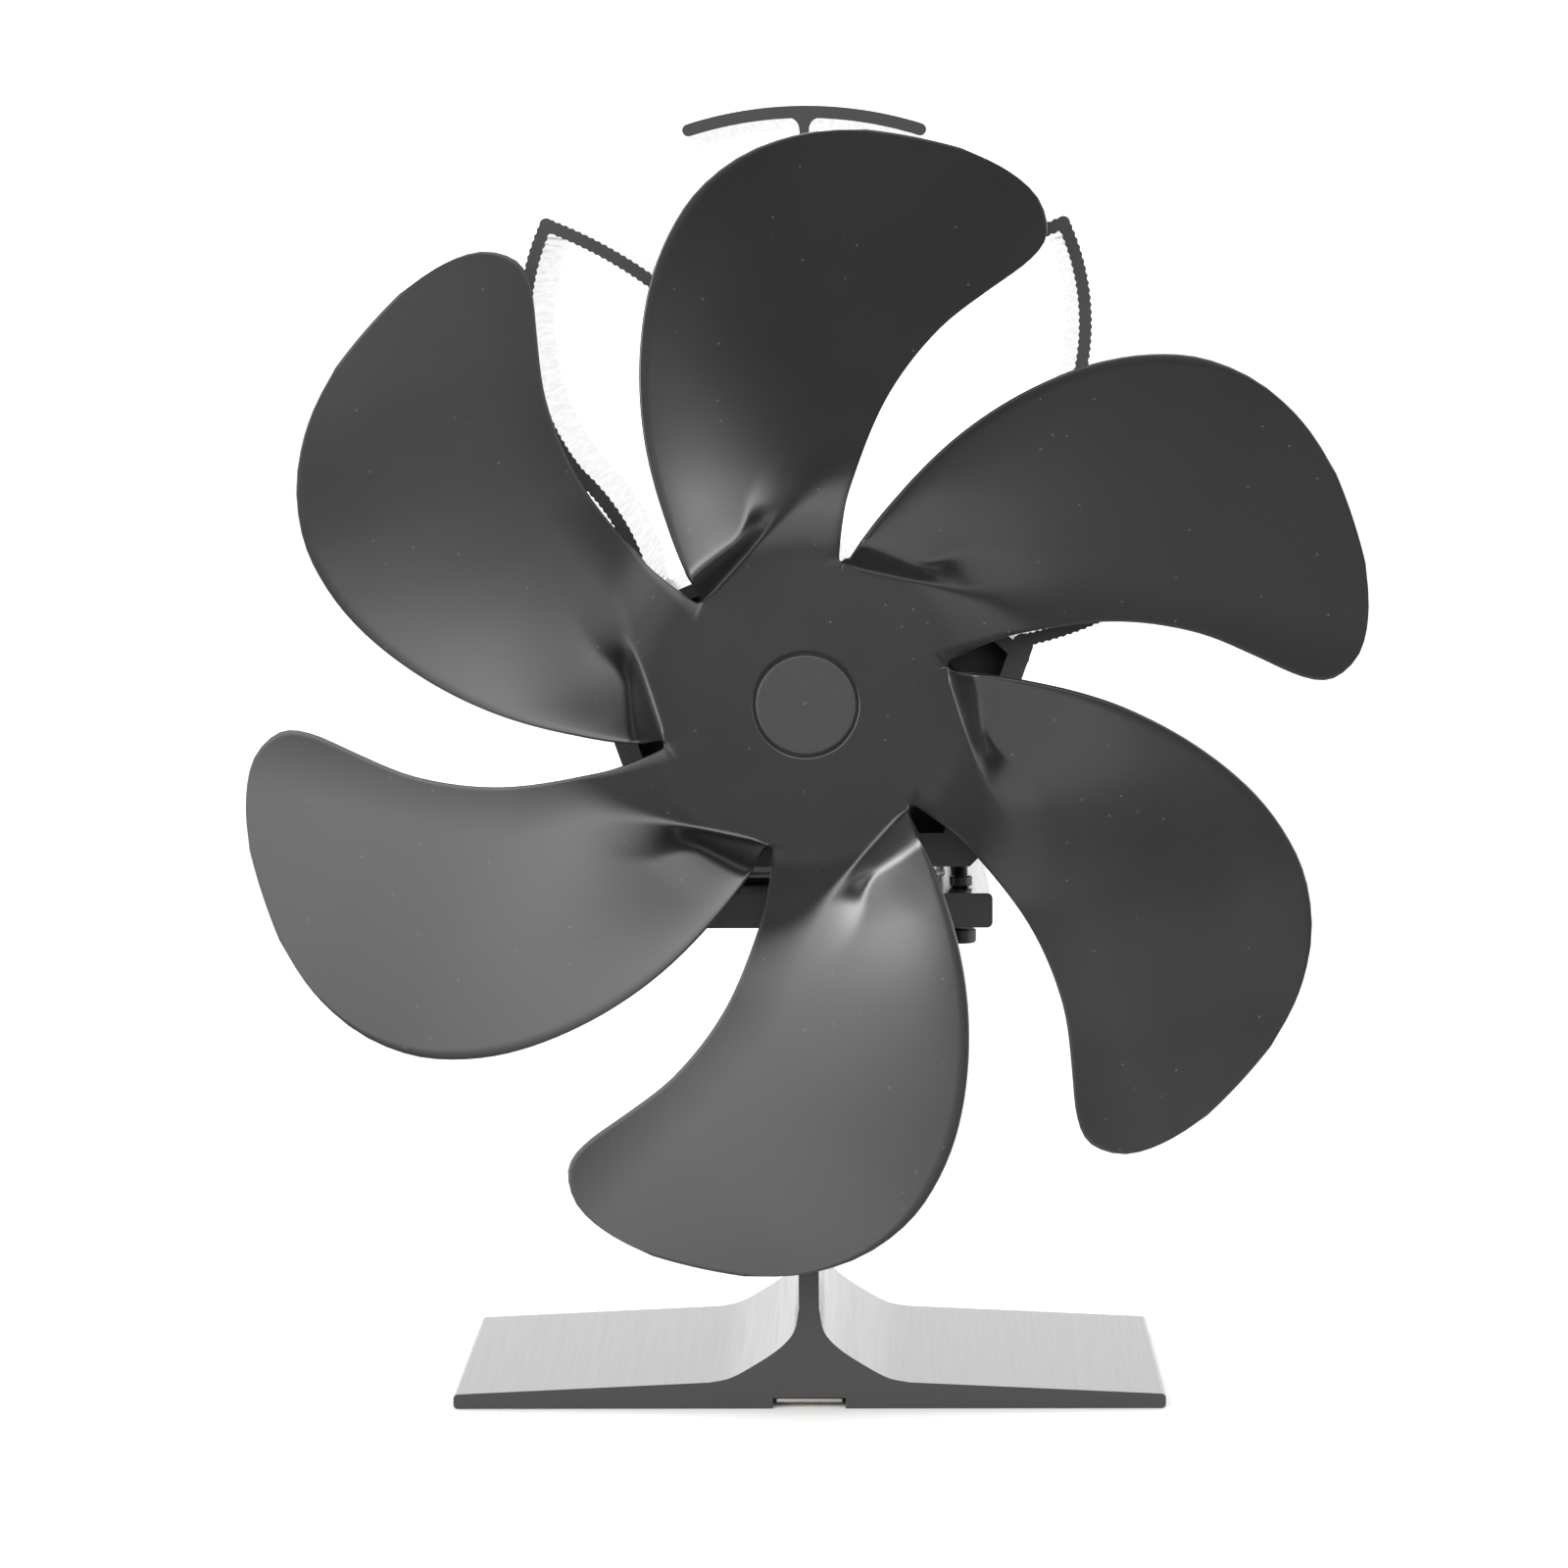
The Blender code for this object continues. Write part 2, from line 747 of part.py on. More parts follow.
def motor_bracket():
    """Sheet bracket that fills the cup and stands on a tab."""
    plate = prism(cup_inside(bracket_clearance), bracket_front, bracket_back)
    low = flange_top + seat_gap
    tab_low = (-bracket_tab_half_width, bracket_back - bracket_thickness / 2, low)
    tab_high = (bracket_tab_half_width, bracket_back + bracket_tab_length, low + bracket_thickness)
    body = combined(plate, [block(tab_low, tab_high)], "UNION")
    reach = bracket_thickness + 2 * overrun
    centre_hole = laid(rod(boss_radius + seat_gap, 0, reach))
    holes = [moved(centre_hole, (0, bracket_front - overrun, axis_height))]
    for x in motor_screw_places().values():
        hole = laid(rod(motor_screw_radius + seat_gap, 0, reach, small_round_steps))
        holes.append(moved(hole, (x, bracket_front - overrun, axis_height)))
    for x, y in bracket_screw_places().values():
        hole = rod(bracket_screw_radius + seat_gap, 0, reach, small_round_steps)
        holes.append(moved(hole, (x, y, low - overrun)))
    return combined(body, holes, "DIFFERENCE")


def pan_screw(radius, length, head_radius, head_height):
    """Screw with a domed head; the head's seat is at zero and the shank points down."""
    dome = head_height / 4
    profile = [
        (0, -length),
        (radius, -length),
        (radius, 0),
        (head_radius, 0),
        (head_radius, head_height - dome),
        (head_radius * 3 / 4, head_height),
        (0, head_height),
    ]
    return turned(profile, small_round_steps)


def bracket_screw(spot):
    """Screw down through the bracket's tab into the flange."""
    seat = flange_top + 2 * seat_gap + bracket_thickness
    length = seat - flange_top + bracket_screw_depth - seat_gap
    screw = pan_screw(bracket_screw_radius, length, bracket_screw_head_radius, bracket_screw_head_height)
    return moved(screw, (*spot, seat))


def motor_screw(x):
    """Screw from the front, through the bracket into the motor's can."""
    length = bracket_thickness + 3 * seat_gap + can_wall
    screw = pan_screw(motor_screw_radius, length, motor_screw_head_radius, motor_screw_head_height)
    return moved(rotated(screw, pi / 2, "X"), (x, bracket_front - seat_gap, axis_height))


# Motor, made about its own axis with zero at the can's front face


def on_axis(shape, start=0.0):
    """Lay a turned shape along the motor's axis, in world places."""
    return moved(laid(shape), (0, motor_front + start, axis_height))


def motor_can():
    """Drawn steel can, open at the back, with a boss for the front bush."""
    inner = can_radius - can_wall
    hole = bush_radius + seat_gap
    profile = [
        (hole, -boss_length),
        (boss_radius, -boss_length),
        (boss_radius, 0),
        (can_radius - can_edge_round, 0),
        (can_radius, can_edge_round),
        (can_radius, can_length),
        (inner, can_length),
        (inner, can_wall),
        (hole, can_wall),
    ]
    body = turned(profile, round_steps + 8, closed=True)
    holes = []
    for x in motor_screw_places().values():
        hole_tool = rod(motor_screw_radius + seat_gap, -overrun, can_wall + overrun, small_round_steps)
        holes.append(moved(hole_tool, (x, 0, 0)))
    return on_axis(combined(body, holes, "DIFFERENCE"))


def front_bush():
    """Sintered bush in the can's boss."""
    return on_axis(tube(shaft_radius + running_gap, bush_radius, -boss_length, can_wall))


def end_cap():
    """Moulded cap that closes the back of the can and holds the rear bush."""
    start = can_length - end_cap_thickness + seat_gap
    end = start + end_cap_thickness
    hole = bush_radius + seat_gap
    profile = [
        (hole, start),
        (can_radius - can_wall - seat_gap, start),
        (can_radius - can_wall - seat_gap, end),
        (end_cap_boss_radius, end),
        (end_cap_boss_radius, end + end_cap_boss_length),
        (hole, end + end_cap_boss_length),
    ]
    return on_axis(turned(profile, round_steps + 8, closed=True))


def rear_bush():
    """Sintered bush in the end cap."""
    start = can_length - end_cap_thickness + seat_gap
    return on_axis(tube(shaft_radius + running_gap, bush_radius, start, start + bush_length))


def magnet(middle):
    """Curved magnet against the can's wall, around a middle angle."""
    outer = can_radius - can_wall - seat_gap
    first = middle - magnet_half_angle
    last = middle + magnet_half_angle
    outline = round_part(outer, first, last, arc_steps)
    outline += round_part(outer - magnet_thickness, last, first, arc_steps)
    shape = prism(outline, 0, magnet_length)
    return moved(shape, (0, motor_front + can_wall + seat_gap, axis_height))


def pole_angles():
    """Middle angles of the three poles."""
    return [pi / 2 + 2 * pi * number / 3 for number in range(3)]


def rotor_core():
    """Stack of laminations with three poles, with a bore for the shaft."""
    head_inner = core_radius - pole_head_thickness
    neck_at_hub = math.asin(pole_neck_half_width / core_hub_radius)
    neck_at_head = math.asin(pole_neck_half_width / head_inner)
    between = 2 * pi / 3 - 2 * neck_at_hub
    outline = []
    for angle in pole_angles():
        outline += round_part(core_hub_radius, angle - neck_at_hub - between / 2, angle - neck_at_hub, 3)[1:]
        outline += round_part(head_inner, angle - neck_at_head, angle - pole_half_angle, 4)
        outline += round_part(core_radius, angle - pole_half_angle, angle + pole_half_angle, arc_steps)
        outline += round_part(head_inner, angle + pole_half_angle, angle + neck_at_head, 4)
        outline += round_part(core_hub_radius, angle + neck_at_hub, angle + neck_at_hub + between / 2, 3)
    bore = laid(rod(shaft_radius + seat_gap, -overrun, core_length + overrun))
    body = combined(prism(outline, 0, core_length), [bore], "DIFFERENCE")
    return moved(body, (0, motor_front + core_start, axis_height))


def winding(angle):
    """Copper winding round one pole's neck."""
    inner = pole_neck_half_width + seat_gap
    outer = inner + winding_thickness
    low = winding_inner_radius
    high = math.sqrt((core_radius - pole_head_thickness - seat_gap) ** 2 - outer**2)
    ends = winding_thickness + seat_gap
    coil = block((low, -ends, -outer), (high, core_length + ends, outer))
    opening = block((low - overrun, -seat_gap, -inner), (high + overrun, core_length + seat_gap, inner))
    ring = rotated(combined(coil, [opening], "DIFFERENCE"), -angle, "Y")
    return moved(ring, (0, motor_front + core_start, axis_height))


def commutator():
    """Commutator behind the core."""
    end = commutator_start + commutator_length
    return on_axis(tube(shaft_radius + seat_gap, commutator_radius, commutator_start, end))


def brush(side):
    """Brush on a leaf spring that reaches forward from the end cap."""
    middle = commutator_start + commutator_length / 2
    touch = commutator_radius + seat_gap
    far = can_length - end_cap_thickness
    outline = [
        (touch, middle - brush_length / 2),
        (brush_arm_offset, middle - brush_length / 2),
        (brush_arm_offset, far),
        (brush_arm_offset - brush_arm_thickness, far),
        (brush_arm_offset - brush_arm_thickness, middle + brush_length / 2),
        (touch, middle + brush_length / 2),
    ]
    upright = prism([(side * x, y) for x, y in outline], -brush_width / 2, brush_width / 2)
    return moved(rotated(upright, -pi / 2, "X"), (0, motor_front, axis_height))


def terminal_start():
    """Where the terminals begin, behind the end cap."""
    return motor_front + can_length + 2 * seat_gap


def terminal(side):
    """Solder tab on the end cap."""
    start = terminal_start()
    half = terminal_width / 2
    x = side * terminal_half_span
    low = (x - terminal_thickness / 2, start, axis_height - half)
    high = (x + terminal_thickness / 2, start + terminal_length, axis_height + half)
    return block(low, high)


# Rotor and wheel


def shaft_tip():
    """Front end of the shaft, just behind the cap's stub."""
    return hub_front - cap_proud + cap_thickness + cap_stub_length + seat_gap


def motor_shaft():
    """Steel shaft from the rear bush to the wheel's collar."""
    end = motor_front + can_length + end_cap_boss_length
    return moved(laid(rod(shaft_radius, shaft_tip(), end)), (0, 0, axis_height))


def thrust_washer(start):
    """Thin washer that takes up the shaft's end play."""
    inner = shaft_radius + seat_gap
    return on_axis(tube(inner, thrust_washer_radius, start, start + thrust_washer_thickness))


def hub_collar():
    """Turned collar that carries the wheel on the shaft, with a radial hole for its set screw."""
    seat = hub_back + seat_gap
    spigot = seat - collar_spigot_length
    flange_back = seat + collar_flange_thickness
    end = flange_back + collar_neck_length
    stub_end = hub_front - cap_proud + cap_thickness + cap_stub_length + seat_gap
    profile = [
        (cap_stub_radius + seat_gap, spigot),
        (collar_spigot_radius, spigot),
        (collar_spigot_radius, seat),
        (collar_flange_radius, seat),
        (collar_flange_radius, flange_back),
        (collar_neck_radius, flange_back),
        (collar_neck_radius, end),
        (shaft_radius + seat_gap, end),
        (shaft_radius + seat_gap, stub_end),
        (cap_stub_radius + seat_gap, stub_end),
    ]
    body = moved(laid(turned(profile, closed=True)), (0, 0, axis_height))
    hole = rod(set_screw_radius + seat_gap, 0, collar_neck_radius + overrun, small_round_steps)
    hole = moved(hole, (0, set_screw_y(), axis_height))
    return combined(body, [hole], "DIFFERENCE")


def set_screw_y():
    """Place of the set screw along the shaft."""
    return hub_back + seat_gap + collar_flange_thickness + set_screw_setback


def set_screw():
    """Grub screw that locks the collar on the shaft."""
    low = axis_height + shaft_radius + seat_gap
    high = axis_height + collar_neck_radius - seat_gap
    return moved(rod(set_screw_radius, low, high, small_round_steps), (0, set_screw_y(), 0))


def hub_cap():
    """Round cap that fills the wheel's hole, with a stub in the collar."""
    front = hub_front - cap_proud
    back = front + cap_thickness
    profile = [
        (0, front),
        (cap_radius - cap_edge_round, front),
        (cap_radius, front + cap_edge_round),
        (cap_radius, back),
        (cap_stub_radius, back),
        (cap_stub_radius, back + cap_stub_length),
        (0, back + cap_stub_length),
    ]
    return moved(laid(turned(profile, round_steps + 16)), (0, 0, axis_height))


def crease_place(x, z):
    """Place of a point along the top blade's crease, from the hub's corner, and beside it."""
    from_x = x - hub_corner_radius * math.cos(hub_corner_angle)
    from_z = z - hub_corner_radius * math.sin(hub_corner_angle)
    along = from_x * math.cos(crease_angle) + from_z * math.sin(crease_angle)
    beside = from_z * math.cos(crease_angle) - from_x * math.sin(crease_angle)
    return along, beside


def softer(first, second):
    """Lower of two heights, with a soft bend where they meet."""
    return (first + second - math.hypot(first - second, bend_softness)) / 2


def forward_reach(x, z):
    """How far the top blade's face stands in front of the hub's face, from its place about the axis."""
    share = (math.hypot(x, z) - hub_corner_radius) / (fan_radius - hub_corner_radius)
    lift = blade_reach * smooth_value(lift_shares, share)[0]
    along, beside = crease_place(x, z)
    if beside <= 0:
        return lift
    root = blade_reach * max(1 - max(along, 0) / root_run, 0)
    breadth = widest_breadth * (1 - (1 - min(max(along / breadth_run, smallest_share), 1)) ** breadth_power)
    face = root + (blade_reach - root - lift) * beside / breadth
    return lift + softer(wall_slope * beside, face) - softer(0, root)


def crease_turn(radius):
    """Angle at which the top blade's crease crosses a circle about the axis."""
    turn = crease_angle - hub_corner_angle
    return crease_angle - math.asin(hub_corner_radius * math.sin(turn) / radius)


def row_points(radius, convex, concave):
    """Points of one row of the top blade, on a circle, with one of them on the crease."""
    share = max((crease_turn(radius) - concave) / (convex - concave), narrowest_share)
    shares = [share * column / concave_columns for column in range(concave_columns)]
    shares += [share + (1 - share) * column / convex_columns for column in range(convex_columns + 1)]
    return round_points(radius, [concave + (convex - concave) * place for place in shares])


def round_points(radius, angles):
    """Points on a circle about the axis."""
    return [(radius * math.cos(angle), radius * math.sin(angle)) for angle in angles]


def blade_rows():
    """Places of the top blade's grid: from the hub's straight side out to the tip, right to left."""
    side_angle = hub_corner_angle - pi / blade_count
    columns = concave_columns + convex_columns
    rows = [[]]
    for column in range(columns + 1):
        angle = hub_corner_angle - 2 * pi / blade_count * (1 - column / columns)
        radius = hub_corner_radius * math.cos(pi / blade_count) / math.cos(angle - side_angle)
        rows[0] += round_points(radius, [angle])
    for share in row_shares:
        convex, concave = smooth_value(edge_shares, share)
        radius = hub_corner_radius + (fan_radius - hub_corner_radius) * share
        rows.append(row_points(radius, math.radians(convex), math.radians(concave)))
    return rows


def sheet_depth(x, z):
    """Thickness of the sheet along the axis: more where the sheet stands steep."""
    step = sheet_thickness / 4
    slope_x = (forward_reach(x + step, z) - forward_reach(x - step, z)) / (2 * step)
    slope_z = (forward_reach(x, z + step) - forward_reach(x, z - step)) / (2 * step)
    return sheet_thickness * min(math.sqrt(1 + slope_x**2 + slope_z**2), thickest_share)


def fan_wheel():
    """Six blades and a flat hub pressed from one sheet."""
    shape = bmesh.new()
    depth_layer = shape.verts.layers.float.new("depth")

    def add(x, z, forward, depth, turn):
        """Add a point of the sheet's face, turned to its own blade."""
        across = x * math.cos(turn) + z * math.sin(turn)
        up = z * math.cos(turn) - x * math.sin(turn)
        vert = shape.verts.new((across, hub_front - forward, axis_height + up))
        vert[depth_layer] = depth
        return vert

    rows = blade_rows()
    hub_side = []
    hole_side = []
    for blade in range(blade_count):
        turn = 2 * pi * blade / blade_count
        grid = []
        for number, row in enumerate(rows):
            if number == 0:
                grid.append([add(x, z, 0, sheet_thickness, turn) for x, z in row])
            else:
                grid.append([add(x, z, forward_reach(x, z), sheet_depth(x, z), turn) for x, z in row])
        for low, high in zip(grid, grid[1:]):
            for column in range(len(low) - 1):
                shape.faces.new((low[column], low[column + 1], high[column + 1], high[column]))
        hub_side += grid[0][::-1][:-1]
        ring = []
        for x, z in rows[0][::-1][:-1]:
            scale = wheel_hole_radius / math.hypot(x, z)
            ring.append(add(x * scale, z * scale, 0, sheet_thickness, turn))
        hole_side += ring
    for index in range(len(hub_side)):
        following = (index + 1) % len(hub_side)
        shape.faces.new((hub_side[index], hub_side[following], hole_side[following], hole_side[index]))
    bmesh.ops.remove_doubles(shape, verts=shape.verts, dist=seat_gap / 100)
    faces = list(shape.faces)
    fronts = list(shape.verts)
    back = {vert: shape.verts.new(vert.co + Vector((0, vert[depth_layer], 0))) for vert in fronts}
    edges = [edge for edge in shape.edges if len(edge.link_faces) == 1]
    for face in faces:
        shape.faces.new([back[vert] for vert in reversed(face.verts)])
    for edge in edges:
        first, last = edge.verts
        shape.faces.new((first, last, back[last], back[first]))
    bmesh.ops.recalc_face_normals(shape, faces=shape.faces)
    return shape


# Bimetal strip


def bimetal_strip():
    """Strip that lies in the groove and bends down when the stove is too hot."""
    high = groove_depth - seat_gap
    low = high - strip_thickness
    start = front_face + strip_setback
    half = strip_width / 2
    strip = block((-half, start, low), (half, start + strip_length, high))
    hole = rod(strip_hole_radius, low - overrun, high + overrun, small_round_steps)
    return combined(strip, [moved(hole, rivet_place())], "DIFFERENCE")


def strip_rivet():
    """Flat-headed rivet up into the foot."""
    head_top = groove_depth - 2 * seat_gap - strip_thickness
    head_bottom = head_top - rivet_head_thickness
    profile = [
        (0, head_bottom),
        (rivet_head_radius, head_bottom),
        (rivet_head_radius, head_top),
        (rivet_radius, head_top),
        (rivet_radius, groove_depth + rivet_depth),
        (0, groove_depth + rivet_depth),
    ]
    return moved(turned(profile, small_round_steps), rivet_place())


# Leads


def quarter_turns(centre, radius, first, last, axes):
    """Points round part of a circle, spread on two axes, from a first to a last number of quarter turns."""
    points = []
    for step in range(bend_steps + 1):
        angle = pi / 2 * (first + (last - first) * step / bend_steps)
        points.append(centre + radius * (math.cos(angle) * axes[0] + math.sin(angle) * axes[1]))
    return points


def lead_route(side):
    """Points of one lead, from the module's front edge to its motor terminal."""
    low, high = module_layers()["core"]
    level = (low + high) / 2
    outward = Vector((side, 0, 0))
    backward = Vector((0, 1, 0))
    upward = Vector((0, 0, 1))
    behind = rear_face + lead_rear_reach - lead_diameter / 2
    tab = Vector((side * terminal_half_span, terminal_start() + terminal_length + seat_gap, axis_height))
    exit_point = Vector((side * lead_exit_half_span, module_front - seal_inset, level))
    loop = exit_point - backward * lead_stub_length + outward * lead_loop_radius
    rear = Vector((side * lead_rear_half_span, behind - lead_bend_radius, level))
    rise = rear + upward * lead_bend_radius
    top = Vector((rear.x, behind - lead_bend_radius, flange_top + lead_cup_height))
    route = [exit_point]
    route += quarter_turns(loop, lead_loop_radius, 2, 4, (outward, backward))
    beside = loop + outward * lead_loop_radius
    route += [beside + backward * (rear.y - loop.y) * share for share in (0.3, 0.65)]
    route += quarter_turns(rise, lead_bend_radius, 3, 4, (backward, upward))
    route += quarter_turns(top, lead_bend_radius, 0, 1, (backward, upward))
    start = route[-1]
    for across, back, up in lead_cup_shares:
        route.append(
            Vector(
                (
                    start.x + (tab.x - start.x) * across,
                    start.y + (tab.y - start.y) * back,
                    start.z + (tab.z - start.z) * up,
                )
            )
        )
    route.append(tab)
    return route


def lead(name, side, material):
    """Insulated wire as a tube along a smooth curve through its route."""
    route = lead_route(side)
    lengths = [0.0]
    for before, after in zip(route, route[1:]):
        lengths.append(lengths[-1] + (after - before).length)
    table = [(length, *point) for length, point in zip(lengths, route)]
    points = []
    for start, end in zip(lengths, lengths[1:]):
        steps = max(round((end - start) / (3 * lead_diameter)), 1)
        points += [smooth_value(table, start + (end - start) * step / steps) for step in range(steps)]
    points.append(route[-1])
    curve = bpy.data.curves.new(name, "CURVE")
    curve.dimensions = "3D"
    curve.bevel_depth = lead_diameter / 2
    curve.bevel_resolution = 2
    curve.use_fill_caps = True
    spline = curve.splines.new("POLY")
    spline.points.add(len(points) - 1)
    for knot, point in zip(spline.points, points):
        knot.co = (*point, 1.0)
    curve.materials.append(material)
    thing = bpy.data.objects.new(name, curve)
    bpy.context.scene.collection.objects.link(thing)
    return thing


def build():
    """Make every piece of the fan."""
    clear_scene()
    black_extrusion = finish("black anodised extrusion", (0.05, 0.05, 0.05), 0.45, 0.4)
    black_sheet = finish("black coated sheet", (0.04, 0.04, 0.04), 0.4, 0.3)
    black_steel = finish("black steel", (0.02, 0.02, 0.02), 0.6, 0.2)
    bright_steel = finish("bright steel", (0.6, 0.6, 0.6), 0.3, 1.0)
    brass = finish("brass", (0.7, 0.55, 0.3), 0.35, 1.0)
    copper = finish("copper", (0.7, 0.35, 0.2), 0.35, 1.0)
    graphite = finish("graphite", (0.08, 0.08, 0.08), 0.7, 0.0)
    ceramic = finish("ceramic", (0.75, 0.75, 0.73), 0.5, 0.0)
    pellet_alloy = finish("pellet alloy", (0.35, 0.35, 0.36), 0.4, 0.9)
    silicone = finish("silicone", (0.8, 0.8, 0.8), 0.5, 0.0)
    plastic = finish("moulded plastic", (0.1, 0.1, 0.1), 0.5, 0.0)
    white_lead = finish("light insulation", (0.75, 0.75, 0.75), 0.4, 0.0)
    black_lead = finish("dark insulation", (0.03, 0.03, 0.03), 0.4, 0.0)

    place("base_extrusion", base_extrusion(), black_extrusion)
    place("heat_sink", heat_sink(), black_extrusion)

    layers = module_layers()
    place("hot_side_pad", square_plate(module_width, *layers["hot_pad"]), graphite)
    place("module_hot_plate", square_plate(module_width, *layers["hot_ceramic"]), ceramic)
    place("module_core", module_core(), pellet_alloy)
    place("module_seal", module_seal(), silicone)
    place("module_cold_plate", square_plate(module_width, *layers["cold_ceramic"]), ceramic)
    place("cold_side_pad", square_plate(module_width, *layers["cold_pad"]), graphite)

    for corner, spot in clamp_places().items():
        place(f"clamp_screw_{corner}", moved(clamp_screw(), spot), black_steel)
        place(f"clamp_washer_{corner}", moved(spring_washer(), spot), bright_steel)
        place(f"clamp_insulator_{corner}", moved(insulator(), spot), plastic)

    place("motor_bracket", motor_bracket(), black_steel)
    for side, spot in bracket_screw_places().items():
        place(f"bracket_screw_{side}", bracket_screw(spot), bright_steel)
    for side, x in motor_screw_places().items():
        place(f"motor_screw_{side}", motor_screw(x), black_steel)
    place("motor_can", motor_can(), bright_steel)
    place("motor_front_bush", front_bush(), brass)
    place("motor_end_cap", end_cap(), plastic)
    place("motor_rear_bush", rear_bush(), brass)
    place("motor_magnet_upper", magnet(pi / 2), graphite)
    place("motor_magnet_lower", magnet(-pi / 2), graphite)
    for name, side in (("left", -1), ("right", 1)):
        place(f"motor_brush_{name}", brush(side), copper)
        place(f"motor_terminal_{name}", terminal(side), brass)
    lead("lead_light", 1, white_lead)
    lead("lead_dark", -1, black_lead)

    axle = bpy.data.objects.new("fan_axis", None)
    bpy.context.scene.collection.objects.link(axle)
    axle.location = (0, hub_front, axis_height)

    def on_axle(name, shape, material):
        """Put a turning piece on the axle, with its origin on the joint's axis."""
        place(name, moved(shape, -axle.location), material, axle, axle.location)

    on_axle("motor_shaft", motor_shaft(), bright_steel)
    on_axle("rotor_core", rotor_core(), bright_steel)
    for number, angle in enumerate(pole_angles(), 1):
        on_axle(f"rotor_winding_{number}", winding(angle), copper)
    on_axle("commutator", commutator(), copper)
    on_axle("thrust_washer_front", thrust_washer(can_wall + seat_gap), plastic)
    on_axle("thrust_washer_rear", thrust_washer(rear_washer_start), plastic)
    on_axle("hub_collar", hub_collar(), brass)
    on_axle("collar_set_screw", set_screw(), black_steel)
    on_axle("fan_wheel", fan_wheel(), black_sheet)
    on_axle("hub_cap", hub_cap(), plastic)

    strip_axis = Vector(rivet_place()) + Vector((0, 0, groove_depth - seat_gap - strip_thickness / 2))
    strip = moved(bimetal_strip(), -strip_axis)
    place("bimetal_strip", strip, bright_steel, at=strip_axis)
    place("strip_rivet", strip_rivet(), bright_steel)


build()
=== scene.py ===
# %% [markdown]
# # A stove fan that the heat drives
#
# The fan stands on a hot stove. A thermoelectric module between its foot and its fins makes a small
# current, and that current turns the wheel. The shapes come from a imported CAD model, and this lesson
# dresses them: finer sheet metal, ribs on the fins, real finishes, soft studio light and a camera.
# Everything is in metres: X runs to the right, Y to the back and Z up.

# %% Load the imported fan
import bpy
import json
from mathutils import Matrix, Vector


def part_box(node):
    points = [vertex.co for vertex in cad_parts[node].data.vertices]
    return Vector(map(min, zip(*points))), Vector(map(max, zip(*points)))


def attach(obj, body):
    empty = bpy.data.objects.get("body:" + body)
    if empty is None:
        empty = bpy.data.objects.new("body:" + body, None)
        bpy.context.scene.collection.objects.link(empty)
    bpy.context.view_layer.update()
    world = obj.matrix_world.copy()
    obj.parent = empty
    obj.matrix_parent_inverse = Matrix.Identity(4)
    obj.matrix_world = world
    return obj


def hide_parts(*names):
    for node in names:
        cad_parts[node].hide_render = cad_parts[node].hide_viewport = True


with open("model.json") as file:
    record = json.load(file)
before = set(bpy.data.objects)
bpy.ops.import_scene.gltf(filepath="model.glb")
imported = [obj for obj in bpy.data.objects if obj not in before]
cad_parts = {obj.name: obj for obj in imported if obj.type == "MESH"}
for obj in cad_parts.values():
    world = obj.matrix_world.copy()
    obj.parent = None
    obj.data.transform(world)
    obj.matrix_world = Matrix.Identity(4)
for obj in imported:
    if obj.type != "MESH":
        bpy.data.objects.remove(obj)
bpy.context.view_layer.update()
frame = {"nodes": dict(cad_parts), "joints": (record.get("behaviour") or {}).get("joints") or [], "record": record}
print("pieces from the CAD model:", len(frame["nodes"]))

# %% Bring in what the lesson uses
import json
import math

import bmesh
import bpy
from mathutils import Matrix, Vector

# %% [markdown]
# ## Camera
#
# The photograph was taken from about a metre away with a long lens, a little above the wheel's axis.
# The camera's place, turn and lens were worked out from points that are easy to find in the picture,
# such as the corners of the foot and the ends of the handle, so that they fall in the same spots.

# %% Place the camera
camera_place = (0.0118, -1.0199, 0.1998)
camera_turn_degrees = (84.876, 0.254, 0.890)
lens_mm = 130.5
sensor_mm = 36
camera_data = bpy.data.cameras.new("studio_camera")
camera_data.sensor_width = sensor_mm
camera_data.lens = lens_mm
camera_data.clip_start = 0.01
camera_data.clip_end = 100
camera = bpy.data.objects.new("studio_camera", camera_data)
bpy.context.scene.collection.objects.link(camera)
camera.location = camera_place
camera.rotation_euler = [math.radians(angle) for angle in camera_turn_degrees]
bpy.context.scene.camera = camera
print("camera", camera_place, "lens", lens_mm, "mm")

# %% [markdown]
# ## Colours and nodes
#
# Colours are easiest to pick as the hex values that a screen shows, but the renderer works with linear
# light, so one function turns them. A second one adds a shader node, sets it up and wires it in one go.

# %% Helpers for colours and nodes
def linear(hex_colour, alpha=1.0):
    """Linear colour for the renderer from an sRGB hex value."""
    parts = [int(hex_colour[start:start + 2], 16) / 255 for start in (1, 3, 5)]
    parts = [part / 12.92 if part <= 0.04045 else ((part + 0.055) / 1.055) ** 2.4 for part in parts]
    return (*parts, alpha)


def add_node(tree, kind, inputs=None, **settings):
    """New node with its settings; each input is a value or the output that feeds it."""
    made = tree.nodes.new(kind)
    for name, value in settings.items():
        setattr(made, name, value)
    for socket, value in (inputs or {}).items():
        if isinstance(value, bpy.types.NodeSocket):
            tree.links.new(value, made.inputs[socket])
        else:
            made.inputs[socket].default_value = value
    return made


def new_finish(name, **values):
    """Material with a Principled shader, whose plain values are set on its own sockets."""
    made = bpy.data.materials.new(name)
    made.use_nodes = True
    shader = made.node_tree.nodes["Principled BSDF"]
    for socket, value in values.items():
        shader.inputs[socket.replace("_", " ")].default_value = value
    place = add_node(made.node_tree, "ShaderNodeTexCoord").outputs["Object"]
    return made, made.node_tree, shader, place


print("a screen's middle grey in linear light:", round(linear("#808080")[0], 3))

